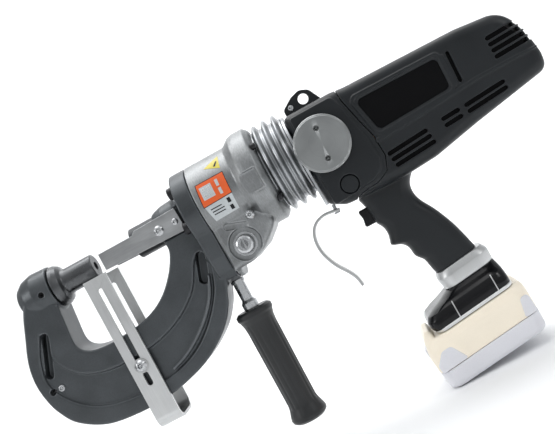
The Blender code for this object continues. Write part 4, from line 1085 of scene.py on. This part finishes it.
# ---- Camera, floor and light ----
CAMERA_AT = (276.69, -845.34, -44.59)  # millimetres in the tool frame
CAMERA_TURN = math.radians(6.0)
CAMERA_ROLL = math.radians(28.46)
LENS_MM, SENSOR_MM = 55.14, 36.0
LIGHTS = (                             # name, place and aim from the tool's middle, size, watts
    ("top", (-0.25, 0.0, 1.4), (0, 0, 0), 1.1, 7.0),
    ("left", (-1.4, -0.7, 0.7), (0, 0, 0), 0.6, 5.0),
    ("right", (1.3, -0.8, 0.9), (0, 0, 0), 0.35, 3.0),
    ("paper", (0.0, 0.75, 1.6), (0.0, 1.7, 0.1), 1.6, 22.0))


def studio_camera():
    turn, roll = CAMERA_TURN, CAMERA_ROLL
    ahead = Vector((-math.sin(turn), math.cos(turn), 0))
    across = Vector((math.cos(turn), math.sin(turn), 0))
    above = Vector((0, 0, 1))
    right = math.cos(roll) * across - math.sin(roll) * above
    up = math.sin(roll) * across + math.cos(roll) * above
    lens = bpy.data.cameras.new("camera")
    lens.sensor_width = SENSOR_MM
    lens.lens = LENS_MM
    camera = linked("camera", lens)
    look = Matrix((right, up, -ahead)).transposed().to_4x4()
    look.translation = TOOL @ Vector(CAMERA_AT)
    camera.matrix_world = look
    bpy.context.scene.camera = camera


def studio_world():
    world = bpy.data.worlds.new("pale_studio")
    bpy.context.scene.world = world
    world.use_nodes = True
    sky = world.node_tree
    place = sky.nodes.new("ShaderNodeTexCoord")
    parts = sky.nodes.new("ShaderNodeSeparateXYZ")
    height = sky.nodes.new("ShaderNodeMapRange")
    for socket, value in (("From Min", -0.4), ("From Max", 1.0), ("To Min", 0.28),
                          ("To Max", 0.85)):
        height.inputs[socket].default_value = value
    sky.links.new(place.outputs["Generated"], parts.inputs["Vector"])
    sky.links.new(parts.outputs["Z"], height.inputs["Value"])
    sky.links.new(height.outputs["Result"], sky.nodes["Background"].inputs["Strength"])
    sky.nodes["Background"].inputs["Color"].default_value = (0.96, 0.98, 1.0, 1.0)


def studio_backdrop():
    """A sheet of pale paper that lies on the floor and sweeps up behind the tool."""
    sweep = ([(-4.0, 0.0)] + [(0.9 + 0.8 * math.sin(a), 0.8 - 0.8 * math.cos(a))
                              for a in [math.pi / 2 * k / 12 for k in range(13)]] + [(1.7, 4.0)])
    form = bmesh.new()
    edges = [[form.verts.new((x, y, z + CAD_LOW.z)) for y, z in sweep] for x in (-6.0, 6.0)]
    for k in range(len(sweep) - 1):
        form.faces.new((edges[0][k], edges[1][k], edges[1][k + 1], edges[0][k + 1]))
    mesh = bpy.data.meshes.new("backdrop")
    form.to_mesh(mesh)
    form.free()
    mesh.shade_smooth()
    backdrop = linked("backdrop", mesh)
    pale = bpy.data.materials.new("pale_paper")
    pale.use_nodes = True
    shader = pale.node_tree.nodes["Principled BSDF"]
    shader.inputs["Base Color"].default_value = (0.93, 0.935, 0.94, 1.0)
    shader.inputs["Roughness"].default_value = 0.9
    backdrop.data.materials.append(pale)


def studio_lights():
    middle = (CAD_LOW + CAD_HIGH) / 2
    for name, offset, aim, size, power in LIGHTS:
        light = bpy.data.lights.new(name, 'AREA')
        light.size = size
        light.energy = power
        lamp = linked(name, light)
        lamp.location = middle + Vector(offset)
        lamp.rotation_euler = (Vector(aim) - Vector(offset)).to_track_quat('-Z', 'Y').to_euler()
    bpy.context.scene.view_settings.view_transform = 'Standard'


c_frame()
die()
ram_group()
strippers()
gauge()
cylinder_block()
finned_barrel()
pump()
housings()
eye_and_guard()
trigger()
battery()
handle()
inner_pieces()
studio_camera()
studio_world()
studio_backdrop()
studio_lights()
# Pins and blocks that only cut something are still in the scene.
for cutter in [piece for piece in bpy.data.objects if piece.name.split(".")[0] in ("pin", "block")]:
    bpy.data.objects.remove(cutter)
